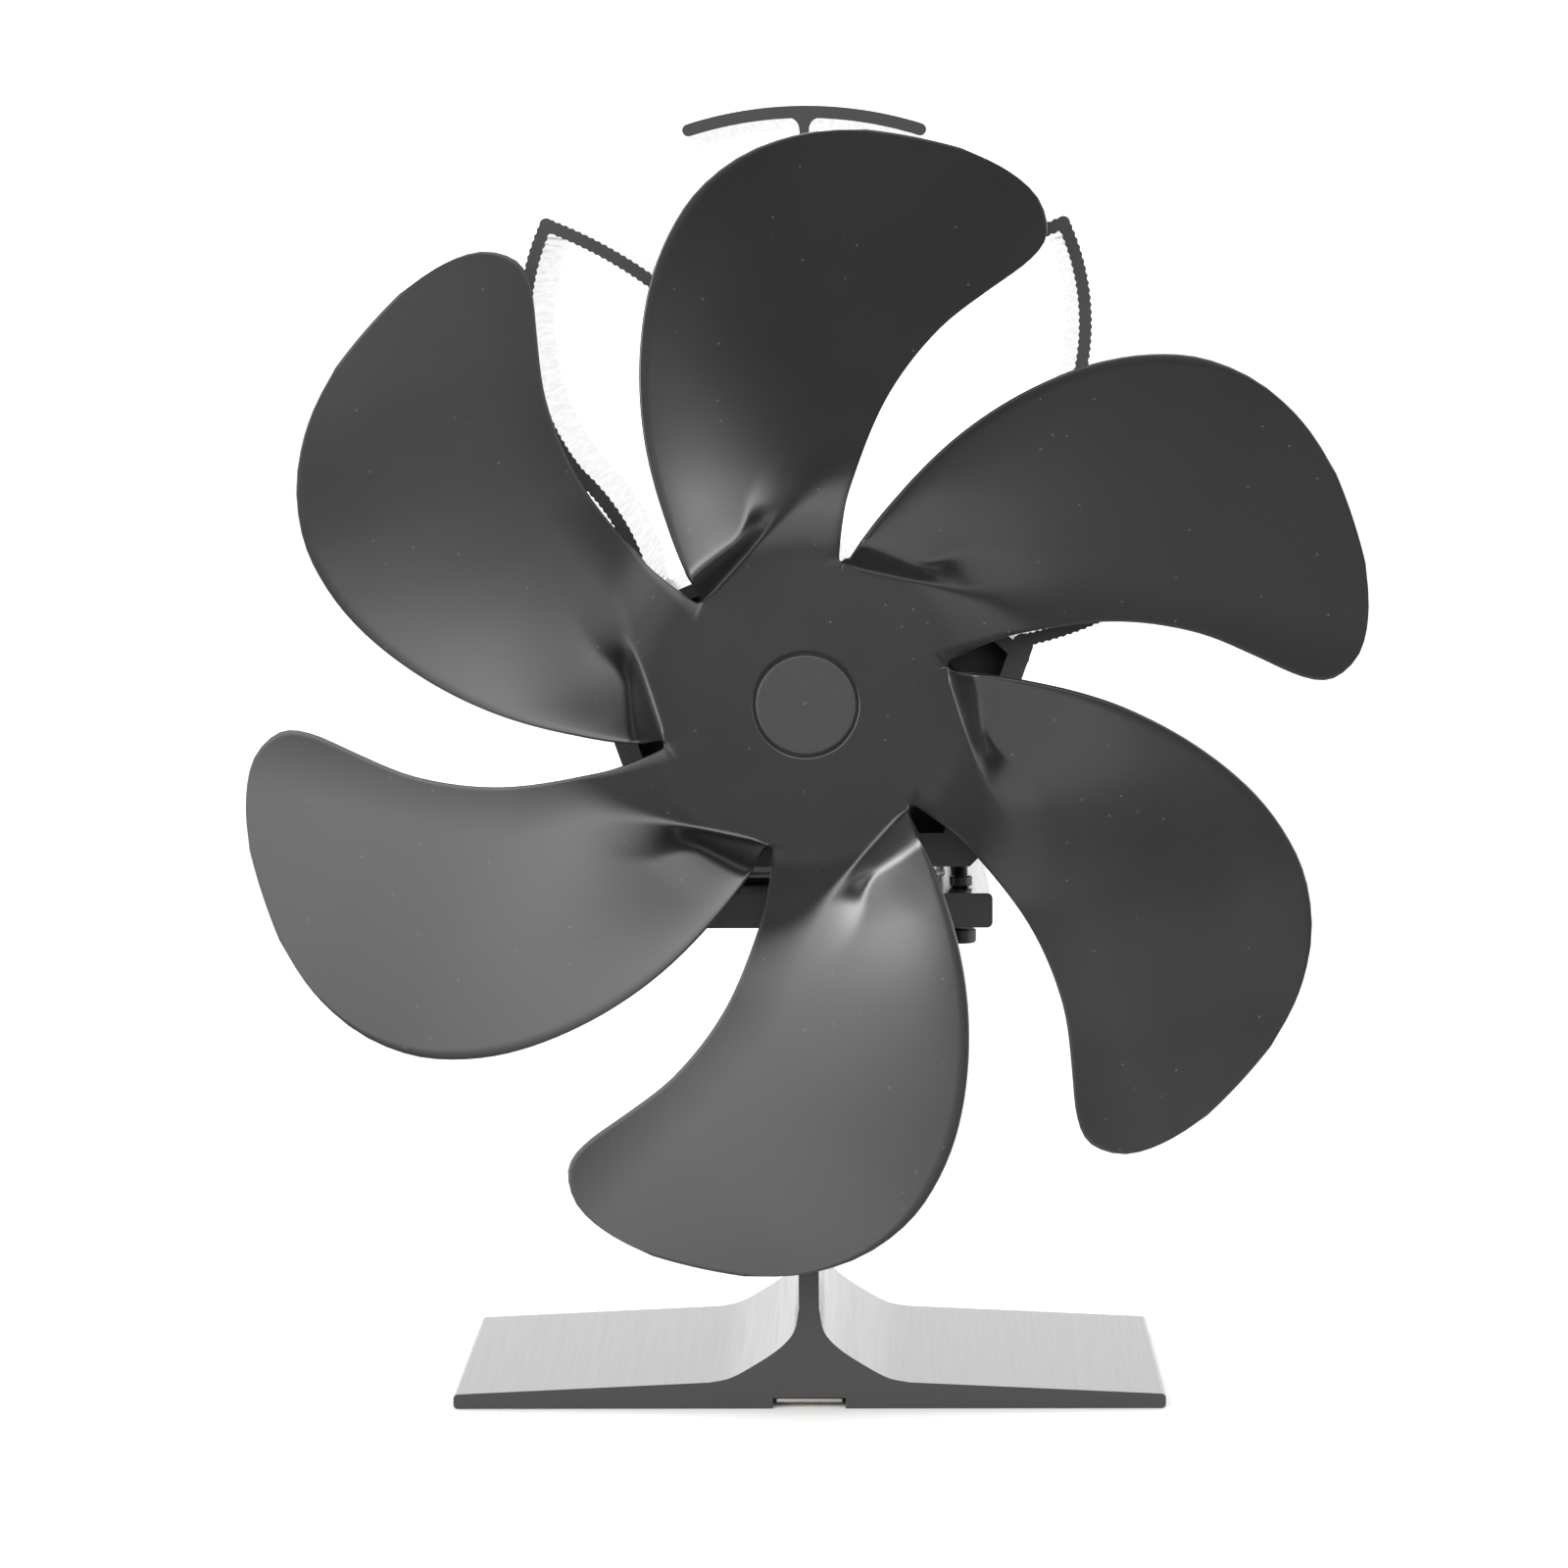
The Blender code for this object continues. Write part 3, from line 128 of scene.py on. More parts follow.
# %% [markdown]
# ## Floor
#
# The object stands on a pale table top in front of nothing but white, which the photograph burns out to
# pure white. The plain Standard view keeps that white, where a film-like one would turn it grey. The top
# is one flat grid. It ends a little in front of the fan, so that blades which lean down mirror the dark
# room below it and not a bright table.

# %% Lay the table top
bpy.context.scene.view_settings.view_transform = "Standard"
table_front = -0.20
table_back = 6.0
table_half_width = 3.0
table_middle = (table_back + table_front) / 2
top_shape = bmesh.new()
bmesh.ops.create_grid(top_shape, x_segments=1, y_segments=1, size=1)
bmesh.ops.scale(top_shape, verts=top_shape.verts, vec=(table_half_width, table_back - table_middle, 1))
bmesh.ops.translate(top_shape, verts=top_shape.verts, vec=(0, table_middle, 0))
top_mesh = bpy.data.meshes.new("table_top")
top_shape.to_mesh(top_mesh)
top_shape.free()
table_top = bpy.data.objects.new("table_top", top_mesh)
bpy.context.scene.collection.objects.link(table_top)
print("the table top reaches from", table_front, "to", table_back, "m")

# %% Finish of the table top: pale matt paper, whose fibres scatter the light evenly
paper, tree, shader, place = new_finish("pale_paper", Base_Color=linear("#f6f6f5"), Roughness=0.85)
fibre = add_node(tree, "ShaderNodeTexNoise", {"Vector": place, "Scale": 900.0, "Detail": 3.0})
dent = add_node(tree, "ShaderNodeBump", {"Height": fibre.outputs[0], "Strength": 0.05, "Distance": 0.0002})
tree.links.new(dent.outputs[0], shader.inputs["Normal"])
top_mesh.materials.append(paper)
print("table top finished in", paper.name)

# %% [markdown]
# ## Light
#
# Black metal shows mostly what it mirrors, so the light decides its look. Soft white panels are painted
# into the room, each as a direction and a strength, all of one softness. The two strongest stand at the
# far left and the far right, and little light comes straight from the front. Behind the fan the room is
# white, and that white fades out towards the camera's side.

# %% Paint the backdrop and the soft panels into the room
backdrop_fade = (-0.25, 0.5)
backdrop_strength = 1.6
panel_sharpness = 16.0
panels = [
    ((-0.95, -0.31, 0.00), 12.3), ((0.95, -0.31, 0.00), 6.7), ((0.18, -0.81, 0.56), 3.3),
    ((-0.78, -0.59, 0.21), 2.9), ((-0.48, -0.81, 0.35), 2.6), ((0.00, 0.50, 0.87), 2.5),
    ((0.00, -0.95, 0.31), 1.2), ((0.21, -0.59, -0.78), 1.2), ((0.78, -0.59, 0.21), 0.8),
    ((-0.18, -0.81, -0.56), 0.6), ((0.59, -0.81, 0.00), 0.5), ((-0.18, -0.81, 0.56), 0.4),
]
world = bpy.data.worlds.new("studio")
bpy.context.scene.world = world
world.use_nodes = True
tree = world.node_tree
way = add_node(tree, "ShaderNodeTexCoord").outputs["Generated"]
parts = add_node(tree, "ShaderNodeSeparateXYZ", {0: way})
backdrop = add_node(
    tree, "ShaderNodeMapRange",
    {0: parts.outputs[1], 1: backdrop_fade[0], 2: backdrop_fade[1], 3: 0.0, 4: backdrop_strength},
    interpolation_type="SMOOTHSTEP",
)
glow = backdrop.outputs[0]
for direction, strength in panels:
    toward = Vector(direction).normalized()
    facing = add_node(tree, "ShaderNodeVectorMath", {0: way, 1: toward}, operation="DOT_PRODUCT")
    falling = add_node(
        tree, "ShaderNodeMath", {0: facing.outputs["Value"], 1: panel_sharpness, 2: -panel_sharpness},
        operation="MULTIPLY_ADD",
    )
    lobe = add_node(tree, "ShaderNodeMath", {0: falling.outputs[0]}, operation="EXPONENT")
    summed = add_node(
        tree, "ShaderNodeMath", {0: lobe.outputs[0], 1: strength, 2: glow}, operation="MULTIPLY_ADD"
    )
    glow = summed.outputs[0]
tree.links.new(glow, tree.nodes["Background"].inputs["Strength"])
tree.nodes["Background"].inputs["Color"].default_value = (1, 1, 1, 1)
print("panels painted into the room:", len(panels))

# %% [markdown]
# ## Finishes
#
# Nearly all of the fan is aluminium, dyed black as it is anodised. That skin is a thin clear oxide over
# dyed pores, so it behaves like a satin dark ceramic: little colour of its own and soft, wide highlights.
# The sheet of the wheel was etched before, which leaves a very fine grain, and fine dust has settled
# on it. The real grain is about 0.05 mm, too fine to show here, so it is drawn at 0.4 mm, and the dust
# as specks of about 0.4 mm too.

# %% Finish of the wheel: black anodised sheet
sheet_grains_per_metre = 2500.0
clouds_per_metre = 45.0
dust_cells_per_metre = 420.0
anodised_sheet, tree, shader, place = new_finish("anodised_sheet_satin", Metallic=0.0, IOR=1.62)
grain = add_node(
    tree, "ShaderNodeTexNoise",
    {"Vector": place, "Scale": sheet_grains_per_metre, "Detail": 2.0, "Roughness": 0.6},
)
cloud = add_node(tree, "ShaderNodeTexNoise", {"Vector": place, "Scale": clouds_per_metre, "Detail": 3.0})
tone = add_node(
    tree, "ShaderNodeMix", {0: cloud.outputs[0], 6: linear("#0e0e0f"), 7: linear("#141414")},
    data_type="RGBA",
)
# One cell in four holds a speck of dust
specks = add_node(
    tree, "ShaderNodeTexVoronoi", {"Vector": place, "Scale": dust_cells_per_metre, "Randomness": 1.0}
)
dot = add_node(
    tree, "ShaderNodeMapRange", {0: specks.outputs["Distance"], 1: 0.05, 2: 0.11, 3: 1.0, 4: 0.0}
)
pick = add_node(tree, "ShaderNodeSeparateXYZ", {0: specks.outputs["Color"]})
few = add_node(tree, "ShaderNodeMath", {0: pick.outputs[0], 1: 0.75}, operation="GREATER_THAN")
dust = add_node(tree, "ShaderNodeMath", {0: dot.outputs[0], 1: few.outputs[0]}, operation="MULTIPLY")
faint = add_node(tree, "ShaderNodeMath", {0: dust.outputs[0], 1: 0.16}, operation="MULTIPLY")
dusted = add_node(
    tree, "ShaderNodeMix", {0: faint.outputs[0], 6: tone.outputs[2], 7: linear("#8c8c8a")}, data_type="RGBA"
)
tree.links.new(dusted.outputs[2], shader.inputs["Base Color"])
sheen = add_node(tree, "ShaderNodeMapRange", {0: cloud.outputs[0], 1: 0.3, 2: 0.7, 3: 0.21, 4: 0.25})
tree.links.new(sheen.outputs[0], shader.inputs["Roughness"])
etched = add_node(
    tree, "ShaderNodeBump", {"Height": grain.outputs[0], "Strength": 0.12, "Distance": 0.00005}
)
tree.links.new(etched.outputs[0], shader.inputs["Normal"])
print(anodised_sheet.name, "with a grain of", 1000 / sheet_grains_per_metre, "mm")

# %% [markdown]
# The two extrusions came out of a die, which draws fine straight lines along their length. Their ends
# were sawn and then lightly blasted, so they are a little greyer and more matt than the long faces. The
# real lines and saw marks are some hundredths of a millimetre wide, so here they are drawn at 0.6 to
# 0.7 mm.

# %% Finish of the long faces: anodised as drawn by the die, smooth and glossy
die_lines_per_metre = 1400.0
anodised_drawn, tree, shader, place = new_finish("anodised_extrusion_drawn", Metallic=0.0, IOR=1.6)
long_way = add_node(tree, "ShaderNodeMapping", {"Vector": place, "Scale": (1.0, 0.02, 1.0)})
lines = add_node(
    tree, "ShaderNodeTexNoise", {"Vector": long_way.outputs[0], "Scale": die_lines_per_metre, "Detail": 3.0}
)
cloud = add_node(tree, "ShaderNodeTexNoise", {"Vector": place, "Scale": 60.0, "Detail": 3.0})
tone = add_node(
    tree, "ShaderNodeMix", {0: cloud.outputs[0], 6: linear("#151516"), 7: linear("#1c1c1d")},
    data_type="RGBA",
)
tree.links.new(tone.outputs[2], shader.inputs["Base Color"])
sheen = add_node(tree, "ShaderNodeMapRange", {0: lines.outputs[0], 1: 0.3, 2: 0.7, 3: 0.14, 4: 0.19})
tree.links.new(sheen.outputs[0], shader.inputs["Roughness"])
drawn = add_node(tree, "ShaderNodeBump", {"Height": lines.outputs[0], "Strength": 0.05, "Distance": 0.00002})
tree.links.new(drawn.outputs[0], shader.inputs["Normal"])
print(anodised_drawn.name, "with lines of", round(1000 / die_lines_per_metre, 2), "mm")

# %% Finish of the sawn ends: anodised over faint saw marks, matt and a little greyer
saw_marks_per_metre = 1800.0
anodised_sawn, tree, shader, place = new_finish("anodised_extrusion_sawn", Metallic=0.0, IOR=1.5)
strokes = add_node(tree, "ShaderNodeMapping", {"Vector": place, "Scale": (0.06, 1.0, 1.0)})
marks = add_node(
    tree, "ShaderNodeTexNoise", {"Vector": strokes.outputs[0], "Scale": saw_marks_per_metre, "Detail": 3.0}
)
tone = add_node(
    tree, "ShaderNodeMix", {0: marks.outputs[0], 6: linear("#202021"), 7: linear("#29292a")},
    data_type="RGBA",
)
tree.links.new(tone.outputs[2], shader.inputs["Base Color"])
sheen = add_node(tree, "ShaderNodeMapRange", {0: marks.outputs[0], 1: 0.3, 2: 0.7, 3: 0.5, 4: 0.62})
tree.links.new(sheen.outputs[0], shader.inputs["Roughness"])
sawn = add_node(tree, "ShaderNodeBump", {"Height": marks.outputs[0], "Strength": 0.2, "Distance": 0.00004})
tree.links.new(sawn.outputs[0], shader.inputs["Normal"])
print(anodised_sawn.name, "with marks of", round(1000 / saw_marks_per_metre, 2), "mm")

# %% [markdown]
# The small parts are everyday stock: zinc-plated and blackened screws, a drawn steel motor can, turned
# brass, enamelled copper wire, moulded plastic and silicone. Each gets its own colour, gloss and grain.
# Plating and turning leave grain finer than a pixel, so it is drawn at a third of a millimetre or more.

# %% A helper for the finishes of the small parts
def stock_finish(name, dark, light, shine, spread, grain_mm, depth_mm, stretch=(1, 1, 1), metallic=1.0):
    """Finish whose tone, gloss and relief all follow one grain of a given size."""
    made, tree, shader, place = new_finish(name, Metallic=metallic)
    fitted = add_node(tree, "ShaderNodeMapping", {"Vector": place, "Scale": stretch})
    grain = add_node(
        tree, "ShaderNodeTexNoise", {"Vector": fitted.outputs[0], "Scale": 1000 / grain_mm, "Detail": 3.0}
    )
    tone = add_node(
        tree, "ShaderNodeMix", {0: grain.outputs[0], 6: linear(dark), 7: linear(light)}, data_type="RGBA"
    )
    tree.links.new(tone.outputs[2], shader.inputs["Base Color"])
    gloss = add_node(
        tree, "ShaderNodeMapRange", {0: grain.outputs[0], 1: 0.3, 2: 0.7, 3: shine, 4: shine + spread}
    )
    tree.links.new(gloss.outputs[0], shader.inputs["Roughness"])
    relief = add_node(
        tree, "ShaderNodeBump", {"Height": grain.outputs[0], "Strength": 0.4, "Distance": depth_mm / 1000}
    )
    tree.links.new(relief.outputs[0], shader.inputs["Normal"])
    return made

# %% Mix the finishes of the small parts
# Blackened screws: dark oxide, oily and uneven
blackened_steel = stock_finish(
    "blackened_steel_screw", "#1b1b1c", "#2c2c2d", 0.38, 0.15, 0.5, 0.01, metallic=0.4
)
# Zinc plating: pale, slightly blue and finely grained
zinc_plated = stock_finish("zinc_plated_steel", "#a4a6a8", "#c2c3c4", 0.26, 0.14, 0.4, 0.008)
# Drawn steel can: lines round its axis
drawn_steel = stock_finish("drawn_steel_can", "#9c9d9f", "#b9babb", 0.24, 0.12, 0.6, 0.006, (1, 8, 1))
# Rolled bimetal: lines along the strip and a straw tint from heat
rolled_bimetal = stock_finish(
    "rolled_bimetal_strip", "#96908a", "#b4aea5", 0.28, 0.12, 0.5, 0.006, (8, 0.4, 1)
)
# Turned brass: warm and bright, with rings
turned_brass = stock_finish("turned_brass", "#b08d4c", "#cbab68", 0.22, 0.12, 0.4, 0.006, (1, 6, 1))
# Enamelled copper wire: orange brown under clear lacquer
enamelled_copper = stock_finish(
    "enamelled_copper", "#9a5230", "#b8693f", 0.25, 0.1, 0.35, 0.02, metallic=0.8
)
# Graphite sheet: soft dark grey with a dull sheen
graphite_sheet = stock_finish("graphite_sheet", "#26262a", "#37373a", 0.5, 0.15, 0.8, 0.02, metallic=0.3)
# Alumina ceramic: white and matt, with faint specks
alumina = stock_finish("alumina_ceramic", "#d6d5d0", "#e6e5e1", 0.42, 0.12, 0.5, 0.008, metallic=0.0)
# Bismuth telluride pellets: dull dark silver
pellet_metal = stock_finish("bismuth_telluride", "#6e6e72", "#8a8a8e", 0.4, 0.2, 0.7, 0.02, metallic=0.9)
# Silicone seal: whitish, soft and slightly glossy
silicone_seal = stock_finish("silicone_seal", "#dddcd8", "#ecebe7", 0.36, 0.14, 1.2, 0.05, metallic=0.0)
# Moulded black plastic: fine spark-eroded texture
moulded_black = stock_finish(
    "moulded_black_plastic", "#1d1d1e", "#29292a", 0.42, 0.12, 0.35, 0.02, metallic=0.0
)
# Lead insulation: extruded, smooth and a little waxy
light_jacket = stock_finish("light_lead_jacket", "#c4c3c0", "#d5d4d1", 0.34, 0.1, 1.5, 0.02, metallic=0.0)
dark_jacket = stock_finish("dark_lead_jacket", "#1a1a1b", "#262627", 0.34, 0.1, 1.5, 0.02, metallic=0.0)
print("finishes of the small parts are mixed")

# %% [markdown]
# Every solid of the CAD model belongs to a material slot. Each slot gets one finish, so that a piece
# which keeps its CAD shape is dressed too.

# %% Give each solid its finish
slot_finishes = {
    "black_extrusion": anodised_drawn,
    "black_sheet": anodised_sheet,
    "black_steel": blackened_steel,
    "bright_steel": zinc_plated,
    "spring_steel": rolled_bimetal,
    "brass": turned_brass,
    "copper": enamelled_copper,
    "graphite": graphite_sheet,
    "ceramic": alumina,
    "pellet_alloy": pellet_metal,
    "silicone": silicone_seal,
    "black_plastic": moulded_black,
    "light_insulation": light_jacket,
    "dark_insulation": dark_jacket,
}
slots = {row["node"]: row["material_slot"] for row in frame["record"]["subparts"]}
for name, node in frame["nodes"].items():
    node.data.materials.clear()
    node.data.materials.append(slot_finishes[slots[name]])
frame["nodes"]["motor_can"].data.materials[0] = drawn_steel
print("finishes:", len(slot_finishes) + 2)

# %% [markdown]
# ## Making pieces
#
# Each new piece is a bmesh that is turned into an object, given its finish and tied to the CAD body it
# moves with. The place stays in the mesh, so the object itself sits at the origin.

# %% Helpers for pieces
weld_distance = 0.000004
fine_weld_distance = 0.000002


def make_piece(name, shape, finishes, body, node, sharp=35):
    """Object from a bmesh, riding on a body, in place of a CAD node."""
    mesh = bpy.data.meshes.new(name)
    shape.to_mesh(mesh)
    shape.free()
    for finish in finishes:
        mesh.materials.append(finish)
    mesh.shade_smooth()
    mesh.set_sharp_from_angle(angle=math.radians(sharp))
    piece = bpy.data.objects.new(name, mesh)
    bpy.context.scene.collection.objects.link(piece)
    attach(piece, body)
    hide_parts(node)
    print(name, len(mesh.polygons), "faces")

# %% A helper for smooth curves through tables
def smooth_value(table, spot):
    """Values of a smooth curve through a table whose rows start with their place."""
    if spot <= table[0][0]:
        return table[0][1:]
    if spot >= table[-1][0]:
        return table[-1][1:]
    index = max(number for number, row in enumerate(table) if row[0] <= spot)
    low = table[index]
    high = table[index + 1]
    span = high[0] - low[0]
    t = (spot - low[0]) / span
    before = table[max(index - 1, 0)]
    after = table[min(index + 2, len(table) - 1)]
    values = []
    for column in range(1, len(low)):
        start_slope = (high[column] - before[column]) / (high[0] - before[0])
        end_slope = (after[column] - low[column]) / (after[0] - low[0])
        value = low[column] * (2 * t**3 - 3 * t**2 + 1) + start_slope * span * (t**3 - 2 * t**2 + t)
        value += high[column] * (3 * t**2 - 2 * t**3) + end_slope * span * (t**3 - t**2)
        values.append(value)
    return tuple(values)

# %% [markdown]
# ## The wheel
#
# The real wheel is cut from 0.9 mm sheet and pressed in one stroke: six swept blades whose convex edges
# stand about a centimetre in front of the flat hub. Where a blade leaves the hub, the sheet is drawn up
# in a short steep wall, which shows as a dark dimple. A grid is the natural start for pressed sheet: one
# grid covers a sixth of the hub and its blade, each point is moved to where the press puts it, five
# turned copies close the wheel, and solidify gives the sheet its thickness.

# %% Sizes of the blank
axis = Vector(frame["joints"][0]["pos_m"])
blade_count = 6
sheet_thickness = 0.0009
hole_radius = 0.0092
hub_corner_radius = 0.0254
hub_corner_angle = math.radians(134.9)
fan_radius = 0.0995
# Share of the way out to the tip, then the angles of the convex and the concave edge in degrees
edge_shares = [
    (0.0, 134.9, 74.9), (0.011, 133.2, 76.9), (0.121, 128.7, 78.5), (0.211, 125.5, 77.7),
    (0.395, 119.9, 75.0), (0.579, 113.9, 70.4), (0.717, 109.0, 65.8), (0.809, 105.0, 63.2),
    (0.878, 101.2, 62.6), (0.936, 96.4, 64.3), (0.966, 92.4, 66.6), (0.985, 88.4, 70.0),
    (0.9965, 83.7, 74.2),
]
print("blank of", round(2000 * fan_radius, 1), "mm across,", sheet_thickness * 1000, "mm thick")

# %% [markdown]
# Each blade bends along a straight crease that starts at a corner of the hub. The pressed shape is
# easiest to write by the place along that crease and the distance beside it.

# %% Measure from the crease
crease_angle = math.radians(46.8)
# Rows of the edge's table that count before the tip, and places along and beside the crease past them
edge_rows_to_tip = 9
tip_places = [(0.072, 0.0457), (0.090, 0.0455)]


def beside_crease(x, z):
    """Place along the crease and beside it, from the hub's corner where the crease starts."""
    from_x = x - hub_corner_radius * math.cos(hub_corner_angle)
    from_z = z - hub_corner_radius * math.sin(hub_corner_angle)
    along = from_x * math.cos(crease_angle) + from_z * math.sin(crease_angle)
    return along, from_z * math.cos(crease_angle) - from_x * math.sin(crease_angle)


def edge_beside_crease():
    """Places of the convex edge along and beside the crease, levelled off towards the tip."""
    table = []
    for share, convex, _ in edge_shares[:edge_rows_to_tip]:
        radius = hub_corner_radius + (fan_radius - hub_corner_radius) * share
        angle = math.radians(convex)
        table.append(beside_crease(radius * math.cos(angle), radius * math.sin(angle)))
    return table + tip_places


convex_edge = edge_beside_crease()
print("the crease starts", round(hub_corner_radius * 1000, 1), "mm from the axis")

# %% [markdown]
# From the crease the face climbs to the convex edge. Near the hub most of the climb is the steep wall,
# further out the crease grows soft, and a slight bulge keeps the blade from being a plain ramp. These
# sizes were set by comparing the shading of the blades with the photograph.

# %% Press the face forward
blade_reach = 0.0108
bend_softness = 0.0006
bend_start = 0.003
least_bend_share = 0.05
crease_softness = 0.0090
soft_start = 0.014
soft_run = 0.030
bulge_shares = (0.17, -0.30, 0.13)
bulge_run = 0.050
root_run = 0.044
root_power = 3.1
least_breadth = 0.001
# Share of the way out to the tip, and how far the side behind the crease leans forward
lift_shares = [
    (0.0, 0.0), (0.04, 0.0), (0.09, -0.025), (0.2, -0.1), (0.36, -0.05), (0.63, 0.055), (1.0, 0.165),
]
# Place along the crease, then the breadth of the wall beside it and how steeply it starts
wall_shapes = [
    (0.0, 0.0056, 2.2), (0.003, 0.0056, 2.2), (0.006, 0.0051, 2.2), (0.009, 0.0043, 2.1),
    (0.012, 0.0036, 1.9), (0.015, 0.0042, 1.6), (0.019, 0.0065, 1.35), (0.024, 0.0080, 1.3),
    (0.040, 0.0090, 1.3),
]


def forward_reach(x, z):
    """How far the top blade's face stands in front of the hub's face, from its place about the axis."""
    share = (math.hypot(x, z) - hub_corner_radius) / (fan_radius - hub_corner_radius)
    lift = blade_reach * smooth_value(lift_shares, share)[0]
    along, beside = beside_crease(x, z)
    soft = bend_softness * min(max(along / bend_start, least_bend_share), 1)
    soft += crease_softness * min(max((along - soft_start) / soft_run, 0), 1) ** 2
    beside = beside if beside > soft else max(beside + soft, 0) ** 2 / (4 * soft)
    root = blade_reach * min(max(1 - along / root_run, 0), 1) ** root_power
    across = min(beside / max(smooth_value(convex_edge, along)[0], least_breadth), 1.1)
    run = min(max(along / bulge_run, 0), 1.4)
    bulge = bulge_shares[0] + bulge_shares[1] * run + bulge_shares[2] * run**2
    climb = (blade_reach - root - lift) * (across + bulge * 4 * across * (1 - across))
    breadth, power = smooth_value(wall_shapes, along)
    wall = root * (1 - (1 - min(beside / breadth, 1)) ** power)
    return lift + wall + climb


print("the press reaches", blade_reach * 1000, "mm forward")

# %% [markdown]
# The grid's columns follow the two edges of the blade and crowd at the crease, and its rows run from the
# rim of the hole to the tip. So the faces are smallest where the sheet bends most.

# %% Lay a grid over a sixth of the wheel
row_shares = [(0.0, 0.0), (0.45, 0.25), (0.9, 0.94), (1.0, 0.9965)]
hub_rows = 9
blade_rows = 66
concave_columns = 14
convex_columns = 32
crease_limit_shares = (0.12, 0.96)
corner_share = 0.1


def blade_angle(share, place):
    """Angle about the axis of a place across the blade, from the concave to the convex edge."""
    convex, concave = [math.radians(angle) for angle in smooth_value(edge_shares, share)]
    radius = hub_corner_radius + (fan_radius - hub_corner_radius) * share
    turn = math.asin(hub_corner_radius * math.sin(crease_angle - hub_corner_angle) / radius)
    crease = (crease_angle - turn - concave) / (convex - concave)
    crease = min(max(crease, crease_limit_shares[0]), crease_limit_shares[1])
    step = place * (concave_columns + convex_columns)
    if step <= concave_columns:
        share_across = crease * (1 - (1 - step / concave_columns) ** 2)
    else:
        share_across = crease + (1 - crease) * ((step - concave_columns) / convex_columns) ** 1.5
    return concave + (convex - concave) * share_across


def pressed_place(place, out):
    """Point of the sheet's face: place runs across the blade, out from the hole's rim to the tip."""
    hub_share = hub_rows / (hub_rows + blade_rows)
    side_angle = hub_corner_angle - math.pi / blade_count
    if out <= hub_share:
        angle = blade_angle(0, place)
        rim = hub_corner_radius * math.cos(math.pi / blade_count) / math.cos(angle - side_angle)
        radius = hole_radius + (rim - hole_radius) * (1 - math.cos(math.pi * out / hub_share)) / 2
        return Vector((radius * math.cos(angle), 0, radius * math.sin(angle)))
    share = smooth_value(row_shares, (out - hub_share) / (1 - hub_share))[0]
    angle = blade_angle(share, place)
    rim = hub_corner_radius * math.cos(math.pi / blade_count) / math.cos(angle - side_angle)
    radius = hub_corner_radius + (fan_radius - hub_corner_radius) * share
    radius += (rim - hub_corner_radius) * max(1 - share / corner_share, 0) ** 2
    x, z = radius * math.cos(angle), radius * math.sin(angle)
    return Vector((x, -forward_reach(x, z), z))


wheel = bmesh.new()
bmesh.ops.create_grid(
    wheel, x_segments=concave_columns + convex_columns, y_segments=hub_rows + blade_rows, size=1
)
for vert in wheel.verts:
    vert.co = pressed_place((vert.co.x + 1) / 2, (vert.co.y + 1) / 2)
print("one blade has", len(wheel.faces), "faces")

# %% [markdown]
# Spin makes the other five blades as turned copies, and the seams between them are welded. The face is
# the front of the sheet, so the thickness grows to the back. The bevel gives the rims the small
# rounding that is left when the burr is taken off.

# %% Turn, weld and thicken the sheet
rim_bevel = 0.00016
rim_angle = math.radians(65)
bmesh.ops.spin(
    wheel, geom=wheel.verts[:] + wheel.edges[:] + wheel.faces[:], cent=(0, 0, 0), axis=(0, 1, 0),
    angle=2 * math.pi * (blade_count - 1) / blade_count, steps=blade_count - 1, use_duplicate=True,
)
bmesh.ops.remove_doubles(wheel, verts=wheel.verts, dist=weld_distance)
bmesh.ops.recalc_face_normals(wheel, faces=wheel.faces)
hub_face = min(wheel.faces, key=lambda face: face.calc_center_median().length)
if hub_face.normal.y > 0:
    bmesh.ops.reverse_faces(wheel, faces=wheel.faces)
bmesh.ops.solidify(wheel, geom=wheel.faces[:], thickness=sheet_thickness)
rims = [edge for edge in wheel.edges if edge.is_manifold and edge.calc_face_angle() > rim_angle]
bmesh.ops.bevel(
    wheel, geom=rims, offset=rim_bevel, offset_type="OFFSET", affect="EDGES", segments=2, profile=0.5,
    material=-1,
)
bmesh.ops.translate(wheel, verts=wheel.verts, vec=axis)
make_piece("pressed_wheel", wheel, [anodised_sheet], "fan", "fan_wheel", sharp=50)

# %% [markdown]
# ## The cap
#
# A small moulded cap snaps into the hub and hides the collar. Half of its section is spun round the
# axis: a flat face with a soft rim, a wall that leaves a narrow crevice to the sheet, a thin skirt behind
# the sheet, and the pip that the mould's sprue left in the middle of the face.

# %% Spin the cap
cap_low, cap_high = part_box("hub_cap")
cap_front = cap_low.y
cap_back = cap_high.y
cap_radius = (cap_high.x - cap_low.x) / 2
pip_top_radius = 0.00035
pip_radius = 0.0005
pip_height = 0.00012
pip_rings = (0.0006, 0.0008)
rim_round = 0.00035
rim_ring = 0.0002
rim_steps = 4
skirt_radius = hole_radius + 0.0003
skirt_front = axis.y + 0.0010
skirt_back = axis.y + 0.0011
stub_radius = 0.0025
cap_face = cap_front + pip_height
section = [(0, cap_front), (pip_top_radius, cap_front), (pip_radius, cap_face)]
